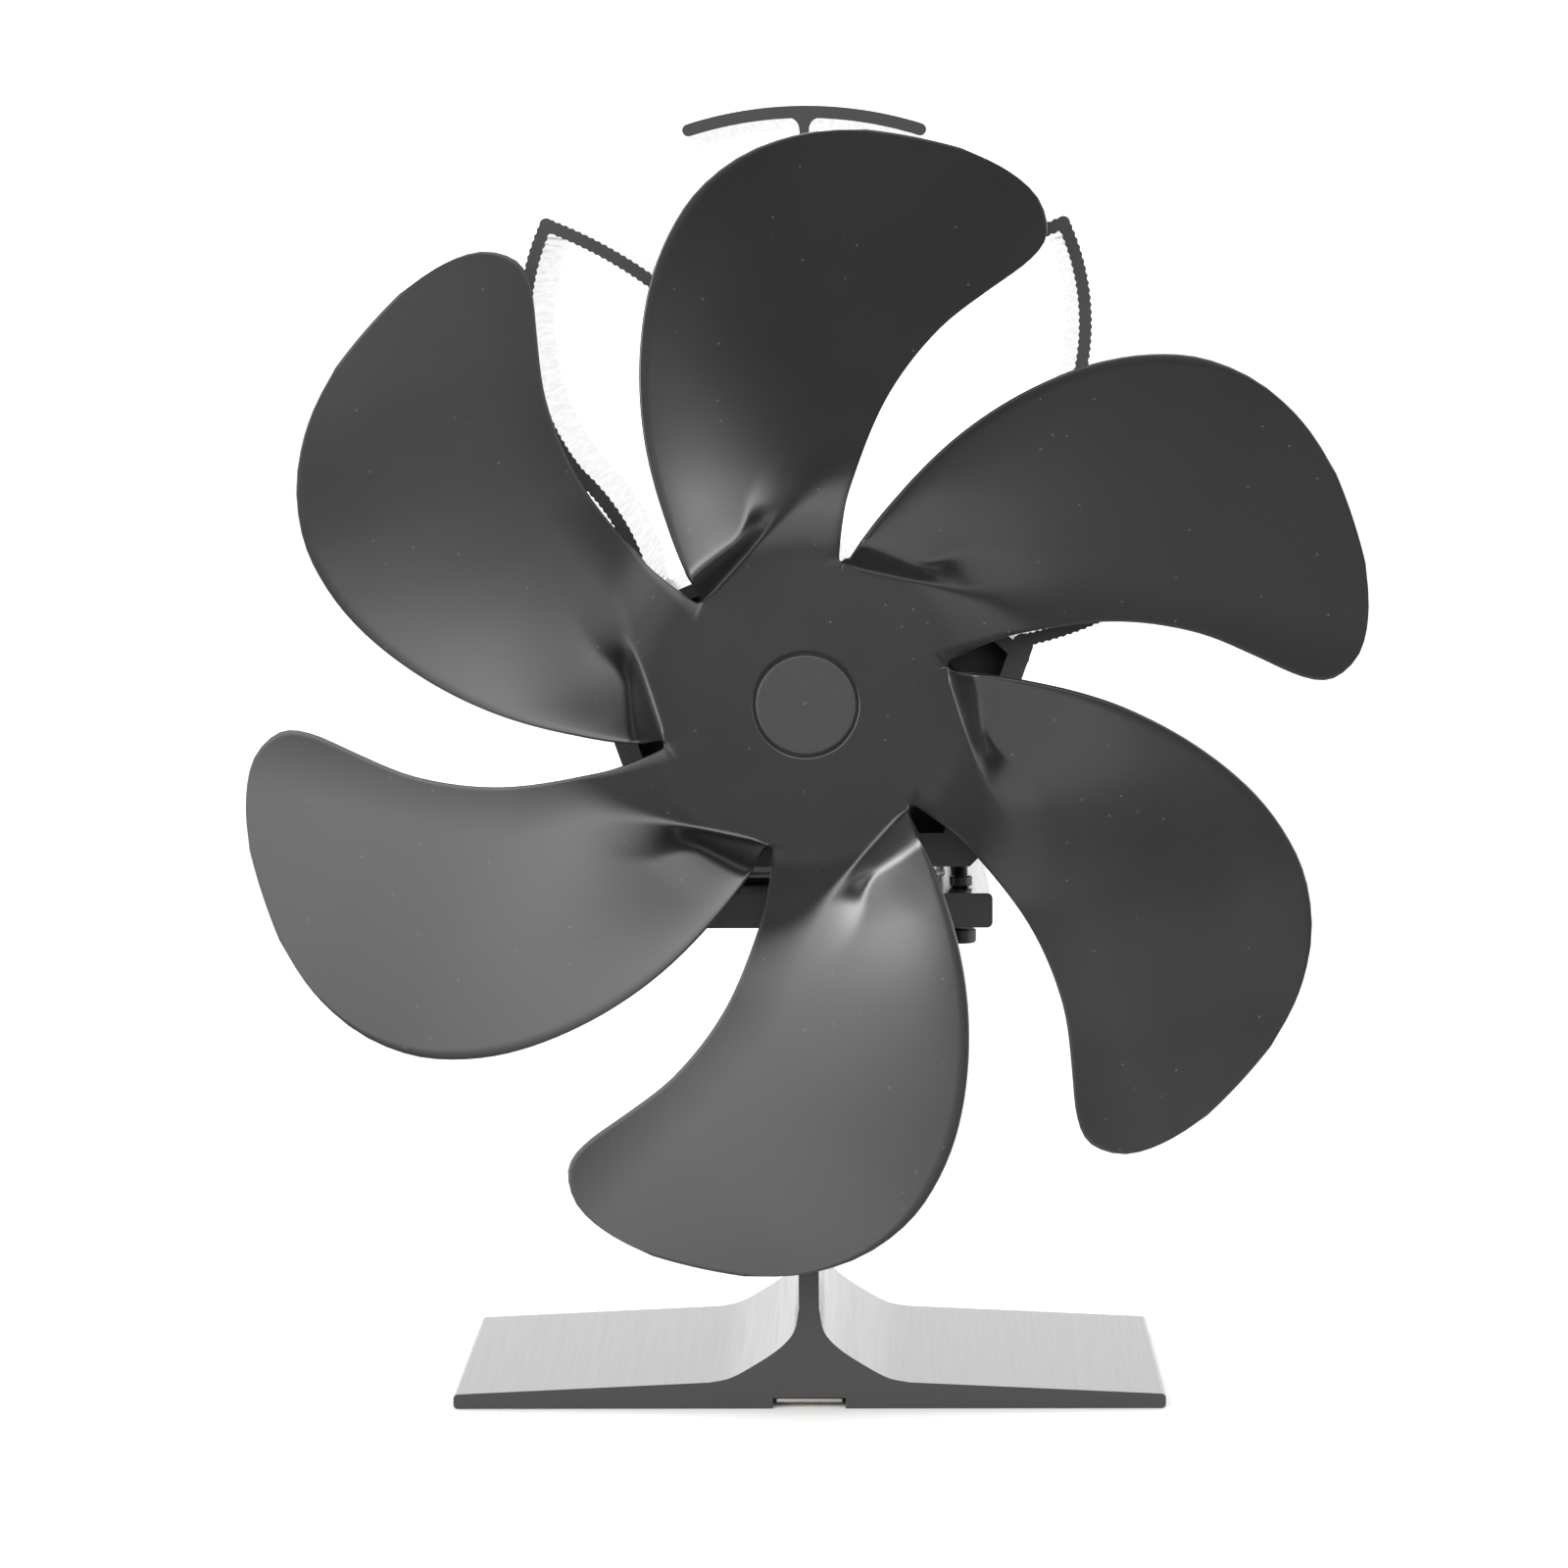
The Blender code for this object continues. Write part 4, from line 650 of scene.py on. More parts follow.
# Rings beside the pip and before the rim keep the shading of the flat face flat
section += [(radius, cap_face) for radius in pip_rings]
section += [(cap_radius - rim_round - rim_ring, cap_face), (cap_radius - rim_round, cap_face)]
for step in range(1, rim_steps + 1):
    turn = math.pi / 2 * step / rim_steps
    inward = rim_round * (1 - math.sin(turn))
    section.append((cap_radius - inward, cap_face + rim_round * (1 - math.cos(turn))))
section += [(cap_radius, skirt_front), (skirt_radius, skirt_front), (skirt_radius, skirt_back)]
section += [(stub_radius, skirt_back), (stub_radius, cap_back), (0, cap_back)]
cap = bmesh.new()
points = [cap.verts.new((axis.x + radius, y, axis.z)) for radius, y in section]
edges = [cap.edges.new(pair) for pair in zip(points, points[1:])]
bmesh.ops.spin(
    cap, geom=points + edges, cent=axis, axis=(0, 1, 0), angle=2 * math.pi, steps=96, use_merge=True
)
bmesh.ops.remove_doubles(cap, verts=cap.verts, dist=weld_distance)
bmesh.ops.recalc_face_normals(cap, faces=cap.faces)
make_piece("moulded_cap", cap, [moulded_black], "fan", "hub_cap", sharp=40)

# %% [markdown]
# ## The heat sink
#
# The upper body is one extruded length: a flange over the module, a cup for the motor, leaf-shaped loops
# that shed the heat and a stem with a curved handle. Its thin loops carry fine ribs, a little over a
# millimetre apart, which the smooth CAD solid leaves out. The extrusion is made the way its die is cut:
# each band of the profile is drawn as an outline, pushed back to its full length, and all are united.

# %% Sizes of the extrusions
flange_bottom = 0.0963
front_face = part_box("heat_sink")[0].y
rear_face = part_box("heat_sink")[1].y
rib_pitch = 0.00125
rib_depth = 0.00022
points_per_rib = 7

# %% A helper for arcs
def arc(start, end, radius, steps=16):
    """Points of an arc that bulges to the left of the way from start to end, or right if radius is minus."""
    start = Vector(start)
    end = Vector(end)
    side = 1 if radius > 0 else -1
    chord = end - start
    left = Vector((-chord.y, chord.x)).normalized()
    height = math.sqrt(max(radius**2 - (chord.length / 2) ** 2, 0))
    centre = (start + end) / 2 - left * height * side
    first = math.atan2(start.y - centre.y, start.x - centre.x)
    sweep = -2 * side * math.asin(min(chord.length / 2 / abs(radius), 1))
    angles = [first + sweep * step / steps for step in range(steps + 1)]
    return [centre + abs(radius) * Vector((math.cos(angle), math.sin(angle))) for angle in angles]

# %% A helper that pushes an outline back
def pushed_back(outline, front=front_face, back=rear_face):
    """Solid with an outline in X and Z, pushed from the front to the back."""
    shape = bmesh.new()
    face = shape.faces.new([shape.verts.new((x, front, z)) for x, z in outline])
    grown = bmesh.ops.extrude_face_region(shape, geom=[face])
    far = [item for item in grown["geom"] if isinstance(item, bmesh.types.BMVert)]
    bmesh.ops.translate(shape, verts=far, vec=(0, back - front, 0))
    bmesh.ops.recalc_face_normals(shape, faces=shape.faces)
    return shape

# %% A helper for bands with ribs
def band(line, thickness, ribs=0.0):
    """Outline of a band with round ends along a line, with ribs of a given depth on both sides."""
    run = [0.0]
    for before, after in zip(line, line[1:]):
        run.append(run[-1] + (after - before).length)
    outline = []
    for points, lengths in ((line, run), (line[::-1], [run[-1] - length for length in run[::-1]])):
        for index, point in enumerate(points[:-1]):
            before = points[max(index - 1, 0)]
            along = (points[index + 1] - before).normalized()
            cut = ribs * (0.5 - 0.5 * math.cos(2 * math.pi * lengths[index] / rib_pitch))
            outline.append(point + Vector((along.y, -along.x)) * (thickness / 2 - cut))
        along = (points[-1] - points[-2]).normalized()
        side = Vector((along.y, -along.x)) * thickness / 2
        for step in range(9):
            bent = side.copy()
            bent.rotate(Matrix.Rotation(math.pi * step / 8, 2))
            outline.append(points[-1] + bent)
    return outline

# %% A helper that unites and cuts solids
def united(shapes, operation="UNION"):
    """First shape after the others are joined to it or cut from it."""
    things = []
    for shape in shapes:
        mesh = bpy.data.meshes.new("part")
        shape.to_mesh(mesh)
        shape.free()
        thing = bpy.data.objects.new("part", mesh)
        bpy.context.scene.collection.objects.link(thing)
        things.append(thing)
    for other in things[1:]:
        step = things[0].modifiers.new("step", "BOOLEAN")
        step.operation = operation
        step.solver = "EXACT"
        step.object = other
    result = bmesh.new()
    result.from_object(things[0], bpy.context.evaluated_depsgraph_get())
    for thing in things:
        mesh = thing.data
        bpy.data.objects.remove(thing, do_unlink=True)
        bpy.data.meshes.remove(mesh)
    return result

# %% Helpers for mirrored points and for holes
def mirrored(points):
    """The same points on the other side of the middle."""
    return [Vector((-point.x, point.y)) for point in points]


def screw_hole(node, radius, bottom, top):
    """Upright cutter on the axis of a CAD screw or rivet, between two heights."""
    low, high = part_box(node)
    middle = (low + high) / 2
    hole = bmesh.new()
    bmesh.ops.create_cone(
        hole, cap_ends=True, segments=24, radius1=radius, radius2=radius, depth=top - bottom
    )
    bmesh.ops.translate(hole, verts=hole.verts, vec=(middle.x, middle.y, (bottom + top) / 2))
    return hole

# %% [markdown]
# The profile is drawn as seen from the front. Its loops are arcs with ribs on both sides, the cup's walls
# and its roof are plain bands, and so is the handle. What stands beside the middle is drawn on the
# right and mirrored to the left.

# %% Draw the ribbed loops
fin = 0.0024
roof_height = flange_bottom + 0.0523
roof_radius = 0.0532
ear_root = (0, flange_bottom + 0.0683)
ear_peak = (0.0449, flange_bottom + 0.1122)
wing_root = (0.0386, 0.1361)
wing_peak = (0.0823, flange_bottom + 0.0750)
shoulder_reach = 0.0273
shoulder_radius = 0.0383


def on_roof(x):
    """Height of the cup's arched roof at a distance from the middle."""
    return roof_height - roof_radius + math.sqrt(roof_radius**2 - x**2)


shoulder_root = (shoulder_reach, on_roof(shoulder_reach))
side_foot = arc(shoulder_root, wing_peak, shoulder_radius, 16)[6]
# Start and end of each loop, the radius of its arc and about how long it is
loop_arcs = [
    (shoulder_root, wing_peak, shoulder_radius, 0.0695),
    (ear_root, ear_peak, 0.0789, 0.0645),
    (ear_peak, side_foot, 0.0412, 0.0455),
    (wing_root, wing_peak, -0.0622, 0.0575),
]
outlines = []
for start, end, radius, length in loop_arcs:
    line = arc(start, end, radius, round(length / rib_pitch * points_per_rib))
    outlines += [band(line, fin, rib_depth), band(mirrored(line), fin, rib_depth)]
print("ribbed loops in the profile:", len(outlines))

# %% Draw the cup, the handle and the flange
cup_wall = 0.0038
cup_side = [Vector((0.0256, 0.1012)), Vector((0.0378, 0.1353))]
roof_half_width = 0.0378
handle_thickness = 0.00215
handle_middle = flange_bottom + 0.1326 - handle_thickness / 2
handle_radius = 0.0670
handle_half_width = 0.0201
stem_half = 0.00085
stem_sink = 0.0006
neck_half = 0.00285
neck_height = 0.002
neck_radius = 0.00205
neck_sink = 0.0001
flange_half_width = 0.0302
flange_top = flange_bottom + 0.0059
flange_chamfer = 0.0017
outlines += [band(mirrored(cup_side), cup_wall), band(cup_side, cup_wall)]
roof_end = on_roof(roof_half_width)
outlines.append(band(arc((-roof_half_width, roof_end), (roof_half_width, roof_end), roof_radius, 40), fin))
handle_end = handle_middle - handle_radius + math.sqrt(handle_radius**2 - handle_half_width**2)
grip = arc((-handle_half_width, handle_end), (handle_half_width, handle_end), handle_radius, 32)
outlines.append(band(grip, handle_thickness))
neck = handle_middle - handle_thickness / 2
stem = [Vector((stem_half, roof_height - stem_sink))]
stem += arc((stem_half, neck - neck_height), (neck_half, neck + neck_sink), neck_radius, 8)
stem += [Vector((neck_half, handle_middle))]
outlines.append(stem + mirrored(stem)[::-1])
flange_low = flange_half_width - flange_chamfer
flange = [(-flange_low, flange_bottom), (flange_low, flange_bottom)]
flange += [(flange_half_width, flange_bottom + flange_chamfer), (flange_half_width, flange_top)]
flange += [(-flange_half_width, flange_top), (-flange_half_width, flange_bottom + flange_chamfer)]
print("bands in the profile:", len(outlines))

# %% [markdown]
# The bands are pushed back, united with the flange and drilled. The sawn faces at the two ends get their
# own finish, which is chosen by the way a face points.

# %% Push the profile back, unite it and drill it
clearance_radius = 0.00155
sink_holes = {
    "clamp_screw": (flange_bottom - 0.0010, flange_bottom + 0.0047),
    "bracket_screw": (flange_bottom + 0.0014, flange_top + 0.0003),
}
sink = united([pushed_back(flange)] + [pushed_back(outline) for outline in outlines])
cutters = []
for node in frame["nodes"]:
    for kind, heights in sink_holes.items():
        if node.startswith(kind):
            cutters.append(screw_hole(node, clearance_radius, *heights))
sink = united([sink] + cutters, "DIFFERENCE")
bmesh.ops.remove_doubles(sink, verts=sink.verts, dist=fine_weld_distance)
for face in sink.faces:
    face.material_index = 1 if abs(face.normal.y) > 0.9 else 0
make_piece("ribbed_heat_sink", sink, [anodised_drawn, anodised_sawn], "body", "heat_sink", sharp=40)

# %% [markdown]
# ## The foot
#
# The lower body is extruded too: a thin wide foot with a groove under it, a stem that flares into the
# foot in one sweep, and the thick hot plate on top. Half of the profile is drawn with true curves and
# mirrored, so the long faces catch the light smoothly.

# %% A helper that rounds a corner
def corner(before, at, after, radius, steps=6):
    """Points that round a corner of an outline."""
    at = Vector(at)
    back = (Vector(before) - at).normalized()
    ahead = (Vector(after) - at).normalized()
    half = back.angle(ahead) / 2
    centre = at + (back + ahead).normalized() * radius / math.sin(half)
    first = at + back * radius / math.tan(half) - centre
    turn = first.angle_signed(at + ahead * radius / math.tan(half) - centre)
    points = []
    for step in range(steps + 1):
        bent = first.copy()
        bent.rotate(Matrix.Rotation(-turn * step / steps, 2))
        points.append(centre + bent)
    return points

# %% Draw half of the foot's profile
foot_edge = (0.063, 0)
foot_rim = (foot_edge[0], 0.0026)
foot_round = 0.0008
groove_half_width = 0.00645
groove_depth = 0.0019
stem_root = (0.001775, 0.0047)
flare_breadth = 0.0159
flare_height = 0.0132
flare_steps = 28
# Place along the flare, then the shares of its breadth and its height
flare_shares = [
    (0.0, 1.0, 0.0), (0.22, 0.78, 0.055), (0.46, 0.56, 0.19), (0.8, 0.23, 0.45), (1.08, 0.06, 0.68),
    (1.4, 0.0, 1.0),
]
under_plate = (stem_root[0], 0.0855)
plate_edge = (0.0325, under_plate[1])
plate_corner = (plate_edge[0], 0.0916)
plate_fillet = 0.0015
plate_round = 0.001
half = [Vector((groove_half_width, groove_depth)), Vector((groove_half_width, 0))]
half += corner((0, 0), foot_edge, foot_rim, foot_round)
half += corner(foot_edge, foot_rim, stem_root, foot_round)
for step in range(flare_steps + 1):
    across, up = smooth_value(flare_shares, flare_shares[-1][0] * step / flare_steps)
    half.append(Vector((stem_root[0] + flare_breadth * across, stem_root[1] + flare_height * up)))
half += corner(stem_root, under_plate, plate_edge, plate_fillet)
half += corner(under_plate, plate_edge, plate_corner, plate_round)
half += corner(plate_edge, plate_corner, (0, plate_corner[1]), plate_round)
outline = half + mirrored(half)[::-1]
print("points in the foot's profile:", len(outline))

# %% Push the foot back and drill it
foot_holes = {"clamp_screw": (clearance_radius, 0.084, 0.093), "strip_rivet": (0.0013, -0.001, 0.0064)}
cutters = []
for node in frame["nodes"]:
    for kind, sizes in foot_holes.items():
        if node.startswith(kind):
            cutters.append(screw_hole(node, *sizes))
foot = united([pushed_back(outline)] + cutters, "DIFFERENCE")
for face in foot.faces:
    face.material_index = 1 if abs(face.normal.y) > 0.9 else 0
make_piece("flared_foot", foot, [anodised_drawn, anodised_sawn], "body", "base_extrusion", sharp=30)

# %% [markdown]
# ## Screws
#
# Real screws have a thread and a drive, which the plain CAD ones leave out. Each is half a section spun
# round its axis, with the thread drawn as fine rings. The clamp screws have a hexagon socket. The small
# pan heads of the motor and its bracket have a cross, cut with two tapered bars.

# %% Helpers for turned parts and threads
def turned(section, steps=48):
    """Solid spun round the upright axis from its section of radius and height."""
    shape = bmesh.new()
    points = [shape.verts.new((radius, 0, height)) for radius, height in section]
    edges = [shape.edges.new(pair) for pair in zip(points, points[1:])]
    bmesh.ops.spin(
        shape, geom=points + edges, cent=(0, 0, 0), axis=(0, 0, 1), angle=2 * math.pi, steps=steps,
        use_merge=True,
    )
    bmesh.ops.remove_doubles(shape, verts=shape.verts, dist=weld_distance)
    bmesh.ops.recalc_face_normals(shape, faces=shape.faces)
    return shape


def thread(radius, start, end, pitch=0.00045, depth=0.00013):
    """Points of a thread's rings along a shank, from a start height to an end height."""
    points = []
    count = max(int(abs(end - start) / pitch), 1)
    for step in range(count):
        height = start + (end - start) * (step + 0.25) / count
        across = (end - start) / count / 2
        points += [(radius, height - across * 0.2), (radius - depth, height + across * 0.8)]
    return points + [(radius - depth, end), (0, end)]


def turn_over(shape, angle, way="X"):
    """Turn a shape about one of the axes through zero."""
    bmesh.ops.rotate(shape, verts=shape.verts, cent=(0, 0, 0), matrix=Matrix.Rotation(angle, 3, way))


# %% Turn the socket screws that clamp the module
head_radius = 0.0027
head_height = 0.0024
head_chamfer = 0.0003
head_edge = 0.0001
shank_radius = 0.00125
plain_shank = 0.0025
socket_radius = 0.0014
socket_depth = 0.0014
for node in [name for name in frame["nodes"] if name.startswith("clamp_screw")]:
    low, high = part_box(node)
    middle = (low + high) / 2
    section = [(0, 0), (head_radius - head_chamfer, 0), (head_radius, head_chamfer)]
    section += [(head_radius, head_height - head_edge), (head_radius - head_edge, head_height)]
    section += [(shank_radius, head_height), (shank_radius, head_height + plain_shank)]
    section += thread(shank_radius, head_height + plain_shank + head_edge, high.z - low.z)
    socket = bmesh.new()
    bmesh.ops.create_cone(
        socket, cap_ends=True, segments=6, radius1=socket_radius, radius2=socket_radius,
        depth=2 * socket_depth,
    )
    screw = united([turned(section), socket], "DIFFERENCE")
    bmesh.ops.translate(screw, verts=screw.verts, vec=(middle.x, middle.y, low.z))
    make_piece(node.replace("clamp", "socket"), screw, [blackened_steel], "body", node)

# %% A helper for pan screws
def pan_screw(radius, length, head, height):
    """Screw that points down from zero, with a domed head above and a cross in it."""
    section = [(0, height)]
    for step in range(1, 7):
        turn = math.pi / 2 * step / 6
        section.append((head * math.sin(turn) ** 0.8, height * (0.25 + 0.75 * math.cos(turn))))
    section += [(head, 0), (radius, 0)] + thread(radius, -head_edge, -length)
    bars = []
    for turn in (0, math.pi / 2):
        bar = bmesh.new()
        bmesh.ops.create_cube(bar, size=1)
        bmesh.ops.scale(bar, verts=bar.verts, vec=(head * 1.1, head * 0.22, height * 1.2))
        bmesh.ops.translate(bar, verts=bar.verts, vec=(0, 0, height))
        lower_points = [vert for vert in bar.verts if vert.co.z < height]
        bmesh.ops.scale(bar, verts=lower_points, vec=(0.6, 0.7, 1))
        turn_over(bar, turn, "Z")
        bars.append(bar)
    return united([turned(section, 40)] + bars, "DIFFERENCE")

# %% Turn the pan screws of the bracket and of the motor
bracket_shank = 0.00125
bracket_head = 0.0024
bracket_head_height = 0.0016
motor_shank = 0.001
motor_head = 0.0021
motor_head_height = 0.0014
for node in [name for name in frame["nodes"] if name.startswith(("bracket_screw", "motor_screw"))]:
    low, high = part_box(node)
    middle = (low + high) / 2
    if node.startswith("bracket"):
        finish = zinc_plated
        spot = (middle.x, middle.y, high.z - bracket_head_height)
        length = high.z - low.z - bracket_head_height
        screw = pan_screw(bracket_shank, length, bracket_head, bracket_head_height)
    else:
        finish = blackened_steel
        spot = (middle.x, low.y + motor_head_height, middle.z)
        length = high.y - low.y - motor_head_height
        screw = pan_screw(motor_shank, length, motor_head, motor_head_height)
        turn_over(screw, math.pi / 2)
    bmesh.ops.translate(screw, verts=screw.verts, vec=spot)
    make_piece(node.replace("screw", "pan_screw"), screw, [finish], "body", node)

# %% [markdown]
# ## The motor
#
# The motor is a small can drawn from steel sheet, closed behind by a moulded cap. Drawing leaves a round
# shoulder, so the can is spun from a rounded section, and two holes in its front take the motor's screws.
# The cap carries the rear bush in a boss with ribs, and beside it stand the two solder tabs, each with a
# hole for its lead.

# %% Spin the can
can_low, can_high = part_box("motor_can")
can_radius = (can_high.x - can_low.x) / 2
can_wall = 0.001
shoulder_round = 0.0014
inner_round = 0.0006
nose_bore = 0.0033
nose_radius = 0.004
nose_length = 0.0018
nose_edge = 0.0001
nose_fillet = 0.0003
lip_edge = 0.00015
screw_circle = 0.0095
screw_hole_radius = 0.0013
can_front = can_low.y + nose_length
can_length = can_high.y - can_front
section = [(nose_bore, can_wall), (nose_bore, nose_edge - nose_length)]
section += [(nose_bore + nose_edge, -nose_length), (nose_radius - nose_edge, -nose_length)]
section += [(nose_radius, nose_edge - nose_length), (nose_radius, -nose_fillet)]
section += [(nose_radius + nose_fillet, 0)]
for step in range(9):
    turn = math.pi / 2 * step / 8
    inward = shoulder_round * (1 - math.sin(turn))
    section.append((can_radius - inward, shoulder_round * (1 - math.cos(turn))))
inside = can_radius - can_wall
section += [(can_radius, can_length - lip_edge), (can_radius - lip_edge, can_length), (inside, can_length)]
section += [(inside, can_wall + inner_round), (inside - inner_round, can_wall), section[0]]
holes = []
for side in (-1, 1):
    hole = bmesh.new()
    bmesh.ops.create_cone(
        hole, cap_ends=True, segments=24, radius1=screw_hole_radius, radius2=screw_hole_radius,
        depth=3 * can_wall,
    )
    bmesh.ops.translate(hole, verts=hole.verts, vec=(side * screw_circle, 0, can_wall / 2))
    holes.append(hole)
can = united([turned(section, 112)] + holes, "DIFFERENCE")
turn_over(can, -math.pi / 2)
bmesh.ops.translate(can, verts=can.verts, vec=(axis.x, can_front, axis.z))
make_piece("drawn_motor_can", can, [drawn_steel], "body", "motor_can")

# %% Mould the end cap
lid_low, lid_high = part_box("motor_end_cap")
lid_radius = (lid_high.x - lid_low.x) / 2
lid_plate = 0.002
lid_chamfer = 0.0002
lid_round = 0.0004
bush_bore = 0.0033
boss_foot = 0.0056
boss_base = 0.0050
boss_tip = 0.0046
boss_edge = 0.0003
boss_length = lid_high.y - lid_low.y
rib_count = 6
rib_size = (0.0086, 0.0007, 0.0011)
rib_middle = 0.0092
section = [(bush_bore, 0), (lid_radius - lid_chamfer, 0), (lid_radius, lid_chamfer)]
section += [(lid_radius, lid_plate - lid_round), (lid_radius - lid_round, lid_plate), (boss_foot, lid_plate)]
section += [(boss_base, lid_plate + lid_round), (boss_tip, boss_length - boss_edge)]
section += [(boss_tip - boss_edge, boss_length), (bush_bore, boss_length), (bush_bore, 0)]
ribs = []
for number in range(rib_count):
    rib = bmesh.new()
    bmesh.ops.create_cube(rib, size=1)
    bmesh.ops.scale(rib, verts=rib.verts, vec=rib_size)
    bmesh.ops.translate(rib, verts=rib.verts, vec=(rib_middle, 0, lid_plate))
    turn_over(rib, math.pi * (1 + 2 * number) / rib_count, "Z")
    ribs.append(rib)
lid = united([turned(section, 96)] + ribs)
turn_over(lid, -math.pi / 2)
bmesh.ops.translate(lid, verts=lid.verts, vec=(axis.x, lid_low.y, axis.z))
make_piece("moulded_end_cap", lid, [moulded_black], "body", "motor_end_cap")

# %% Stamp the solder tabs
tab_round = 0.0008
eye_radius = 0.0005
eye_place = 0.0006
eye_depth = 0.002
least_edge = 0.0001
for node in ("motor_terminal_left", "motor_terminal_right"):
    low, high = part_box(node)
    tab = bmesh.new()
    bmesh.ops.create_cube(tab, size=1)
    bmesh.ops.scale(tab, verts=tab.verts, vec=high - low)
    rear_edges = [edge for edge in tab.edges if all(vert.co.y > 0 for vert in edge.verts)]
    corners = [edge for edge in rear_edges if abs(edge.verts[0].co.x - edge.verts[1].co.x) > least_edge]
    bmesh.ops.bevel(
        tab, geom=corners, offset=tab_round, affect="EDGES", segments=4, profile=0.5, material=-1
    )
    eye = bmesh.new()
    bmesh.ops.create_cone(
        eye, cap_ends=True, segments=20, radius1=eye_radius, radius2=eye_radius, depth=eye_depth
    )
    turn_over(eye, math.pi / 2, "Y")
    bmesh.ops.translate(eye, verts=eye.verts, vec=(0, eye_place, 0))
    tab = united([tab, eye], "DIFFERENCE")
    bmesh.ops.translate(tab, verts=tab.verts, vec=(low + high) / 2)
    make_piece(node.replace("motor_terminal", "solder_tab"), tab, [turned_brass], "body", node)

# %% [markdown]
# ## The leads
#
# Two insulated leads leave the module at the front, loop round its sides, pass behind the flange and end
# on the motor's tabs. A smooth line is laid through the same points as in the CAD model and gets a round
# section of 1.3 mm.

# %% A helper for the bends
def quarter_turns(centre, radius, first, last, ways, steps=10):
    """Points round part of a circle, spread on two ways, from a first to a last number of quarter turns."""
    points = []
    for step in range(steps + 1):
        angle = math.pi / 2 * (first + (last - first) * step / steps)
        points.append(centre + radius * (math.cos(angle) * ways[0] + math.sin(angle) * ways[1]))
    return points

# %% Choose the way of a lead
lead_radius = 0.00065
loop_radius = 0.0031
bend_radius = 0.0029
straight_start = 0.0045
rise_above_flange = 0.004
tab_reach = 0.010
tab_gap = 0.0003
cup_shares = [(0.12, 0.2, 0.05), (0.35, 0.45, 0.2), (0.65, 0.7, 0.5), (0.88, 0.88, 0.85), (1, 1, 1)]
backward = Vector((0, 1, 0))
upward = Vector((0, 0, 1))


def lead_way(node, side):
    """Points of a lead's middle line, from the module's front to the motor's tab on one side."""
    low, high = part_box(node)
    seal_low, seal_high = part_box("module_seal")
    tab_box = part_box("motor_terminal_right" if side > 0 else "motor_terminal_left")
    level = (seal_low.z + seal_high.z) / 2
    outward = Vector((side, 0, 0))
    far_x = (high.x if side > 0 else -low.x) - lead_radius
    behind = high.y - lead_radius
    tab = Vector((side * tab_reach, tab_box[1].y + tab_gap, axis.z))
    start_y = low.y + lead_radius + loop_radius + straight_start
    start = Vector((side * (far_x - 2 * loop_radius), start_y, level))
    loop = start - backward * straight_start + outward * loop_radius
    rear = Vector((side * far_x, behind - bend_radius, level))
    top = Vector((rear.x, rear.y, flange_top + rise_above_flange))
    line = [start] + quarter_turns(loop, loop_radius, 2, 4, (outward, backward))
    beside = loop + outward * loop_radius
    line += [beside + backward * (rear.y - loop.y) * share for share in (0.3, 0.65)]
    line += quarter_turns(rear + upward * bend_radius, bend_radius, 3, 4, (backward, upward))
    line += quarter_turns(top, bend_radius, 0, 1, (backward, upward))
    last = line[-1]
    way = tab - last
    line += [last + Vector((way.x * across, way.y * back, way.z * up)) for across, back, up in cup_shares]
    return line

# %% Lay the leads
knot_spacing = 0.0005
leads = (("lead_light", 1, light_jacket), ("lead_dark", -1, dark_jacket))
for node, side, jacket in leads:
    line = lead_way(node, side)
    run = [0.0]
    for before, after in zip(line, line[1:]):
        run.append(run[-1] + (after - before).length)
    table = [(length, *point) for length, point in zip(run, line)]
    count = round(run[-1] / knot_spacing)
    route = bpy.data.curves.new(node, "CURVE")
    route.dimensions = "3D"
    route.bevel_depth = lead_radius
    route.bevel_resolution = 6
    route.use_fill_caps = True
    spline = route.splines.new("POLY")
    spline.points.add(count)
    for step, knot in enumerate(spline.points):
        knot.co = (*smooth_value(table, run[-1] * step / count), 1)
    strand = bpy.data.objects.new(node, route)
    jacketed = bmesh.new()
    jacketed.from_mesh(strand.to_mesh())
    strand.to_mesh_clear()
    bpy.data.objects.remove(strand)
    bmesh.ops.remove_doubles(jacketed, verts=jacketed.verts, dist=weld_distance)
    make_piece("jacketed_" + node, jacketed, [jacket], "body", node, sharp=60)
    print(node, "is", round(run[-1] * 1000), "mm long")

# %% [markdown]
# ## Rings, plates and the strip
#
# No real edge is perfectly sharp: sawing, punching and firing leave a tenth of a millimetre or so that
# catches the light. The washers and collars are spun with such edges, and the flat parts are copies of
# the CAD solids whose sharp edges are rounded.

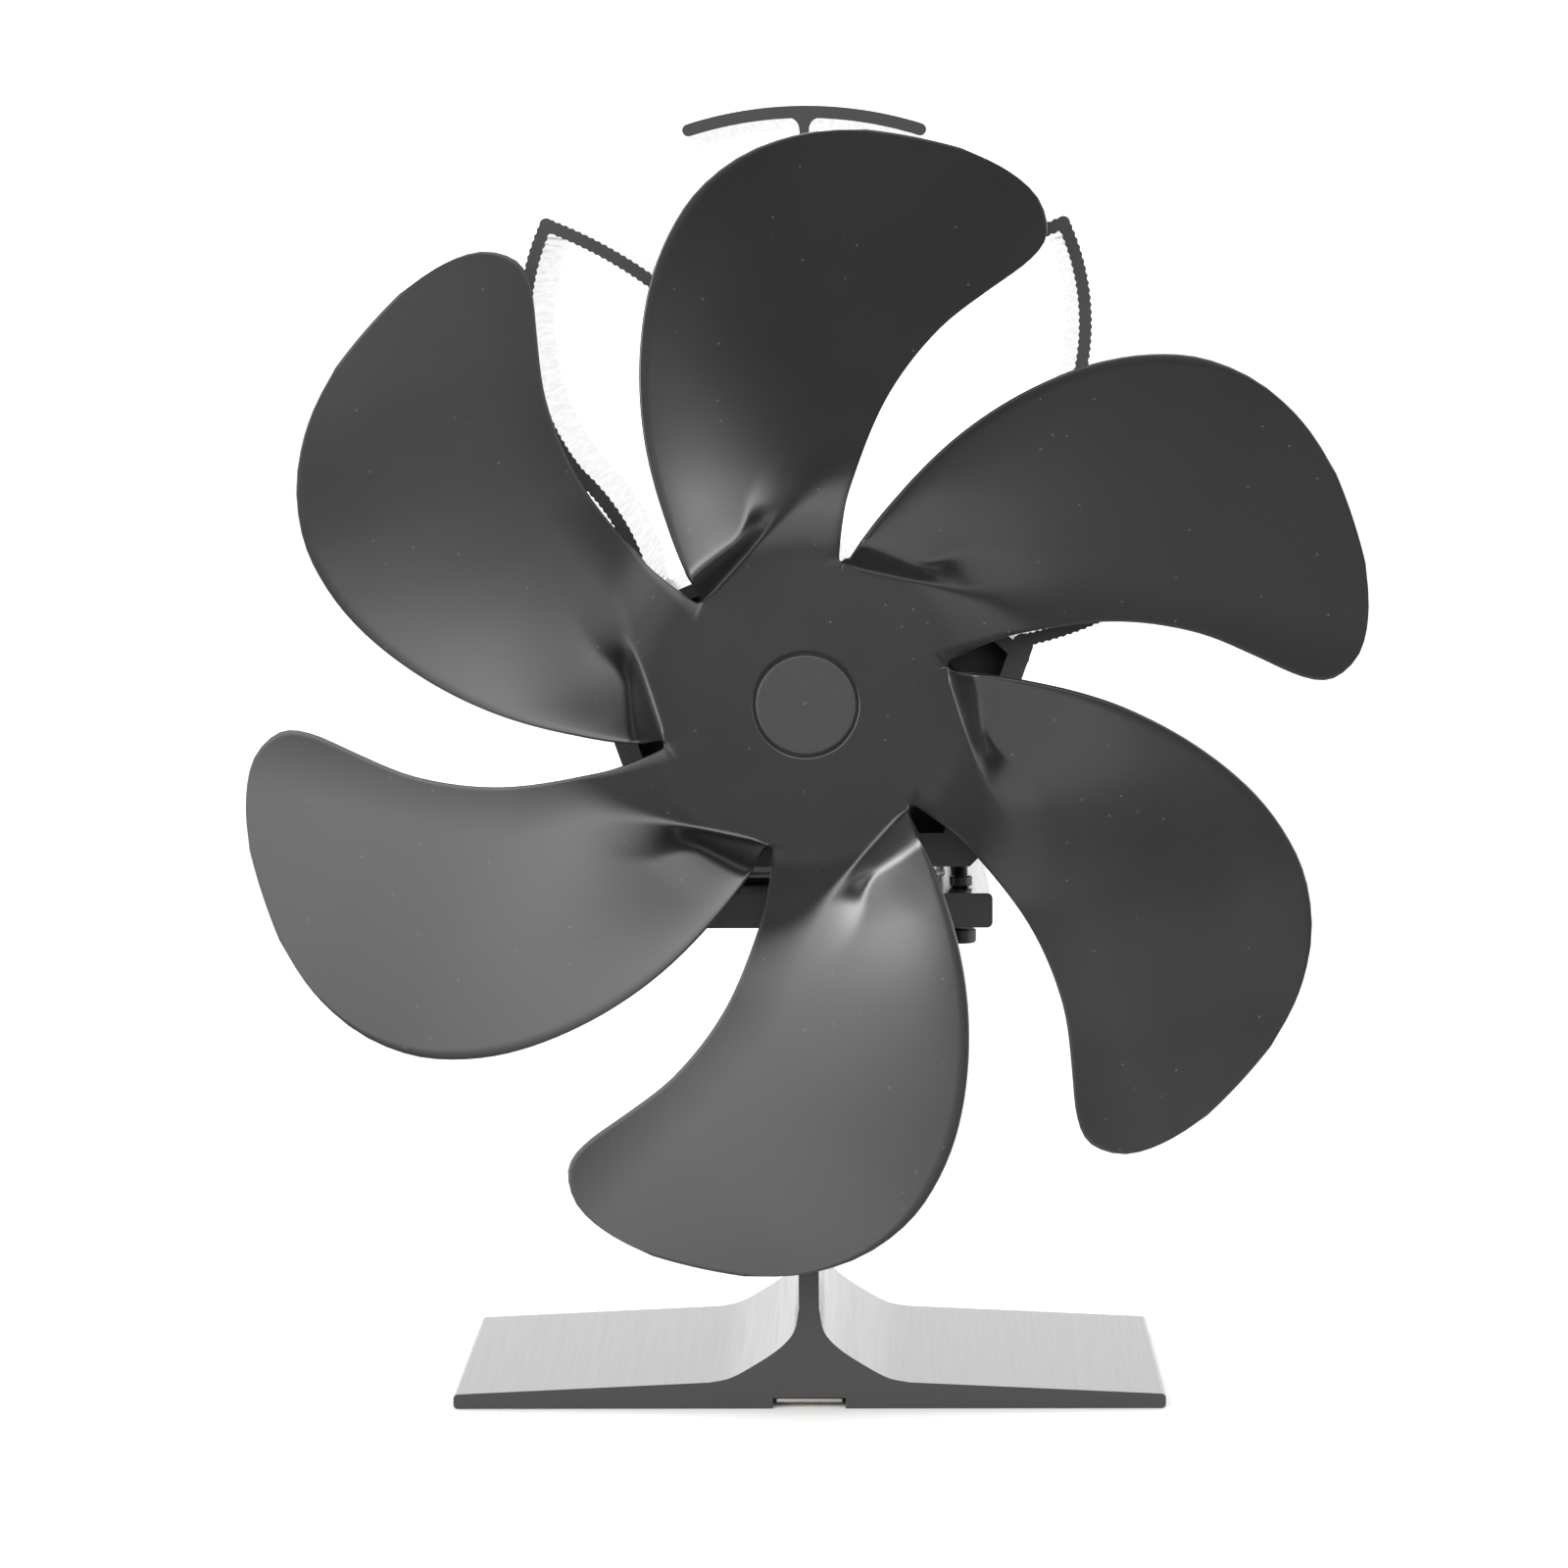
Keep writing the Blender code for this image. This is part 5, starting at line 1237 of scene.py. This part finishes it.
# %% Spin the washers and the insulating collars
edge_break = 0.00012
bore = clearance_radius
for node in list(frame["nodes"]):
    if node.startswith(("clamp_washer", "clamp_insulator")):
        low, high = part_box(node)
        middle = (low + high) / 2
        outer = (high.x - low.x) / 2
        tall = high.z - low.z
        section = [(bore, edge_break), (bore + edge_break, 0), (outer - edge_break, 0), (outer, edge_break)]
        section += [(outer, tall - edge_break), (outer - edge_break, tall), (bore + edge_break, tall)]
        section += [(bore, tall - edge_break), (bore, edge_break)]
        ring = turned(section)
        bmesh.ops.translate(ring, verts=ring.verts, vec=(middle.x, middle.y, low.z))
        make_piece("turned_" + node, ring, [slot_finishes[slots[node]]], "body", node)

# %% A helper that rounds the edges of flat parts
def softened(node, body, width, grown=Matrix.Identity(4), sharp=50):
    """Copy of a CAD solid whose sharp edges are rounded by a width."""
    shape = bmesh.new()
    shape.from_mesh(frame["nodes"][node].data)
    shape.transform(frame["nodes"][node].matrix_world)
    bmesh.ops.remove_doubles(shape, verts=shape.verts, dist=fine_weld_distance)
    bmesh.ops.dissolve_limit(
        shape, angle_limit=math.radians(1), verts=shape.verts, edges=shape.edges,
        use_dissolve_boundaries=False,
    )
    closed = [edge for edge in shape.edges if edge.is_manifold]
    edges = [edge for edge in closed if edge.calc_face_angle() > math.radians(sharp)]
    bmesh.ops.bevel(shape, geom=edges, offset=width, affect="EDGES", segments=2, profile=0.5, material=-1)
    bmesh.ops.transform(shape, verts=shape.verts, matrix=grown)
    make_piece("rounded_" + node, shape, [slot_finishes[slots[node]]], body, node)

# %% Round the plates, the bracket and the strip
strip_edge = 0.0001
bracket_growth_aside = 0.0007
bracket_growth_in_height = 0.0008
for node in ("module_hot_plate", "module_cold_plate"):
    softened(node, "body", edge_break)
# The bracket grows a little towards the walls of the cup, so that no light shows past it
low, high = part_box("motor_bracket")
widened = 1 + bracket_growth_aside / high.x
heightened = 1 + bracket_growth_in_height / (high.z - low.z)
snug = Matrix.Diagonal((widened, 1, heightened, 1))
centre = Matrix.Translation((0, 0, (low.z + high.z) / 2))
softened("motor_bracket", "body", edge_break, centre @ snug @ centre.inverted())
softened("bimetal_strip", "bimetal", strip_edge)
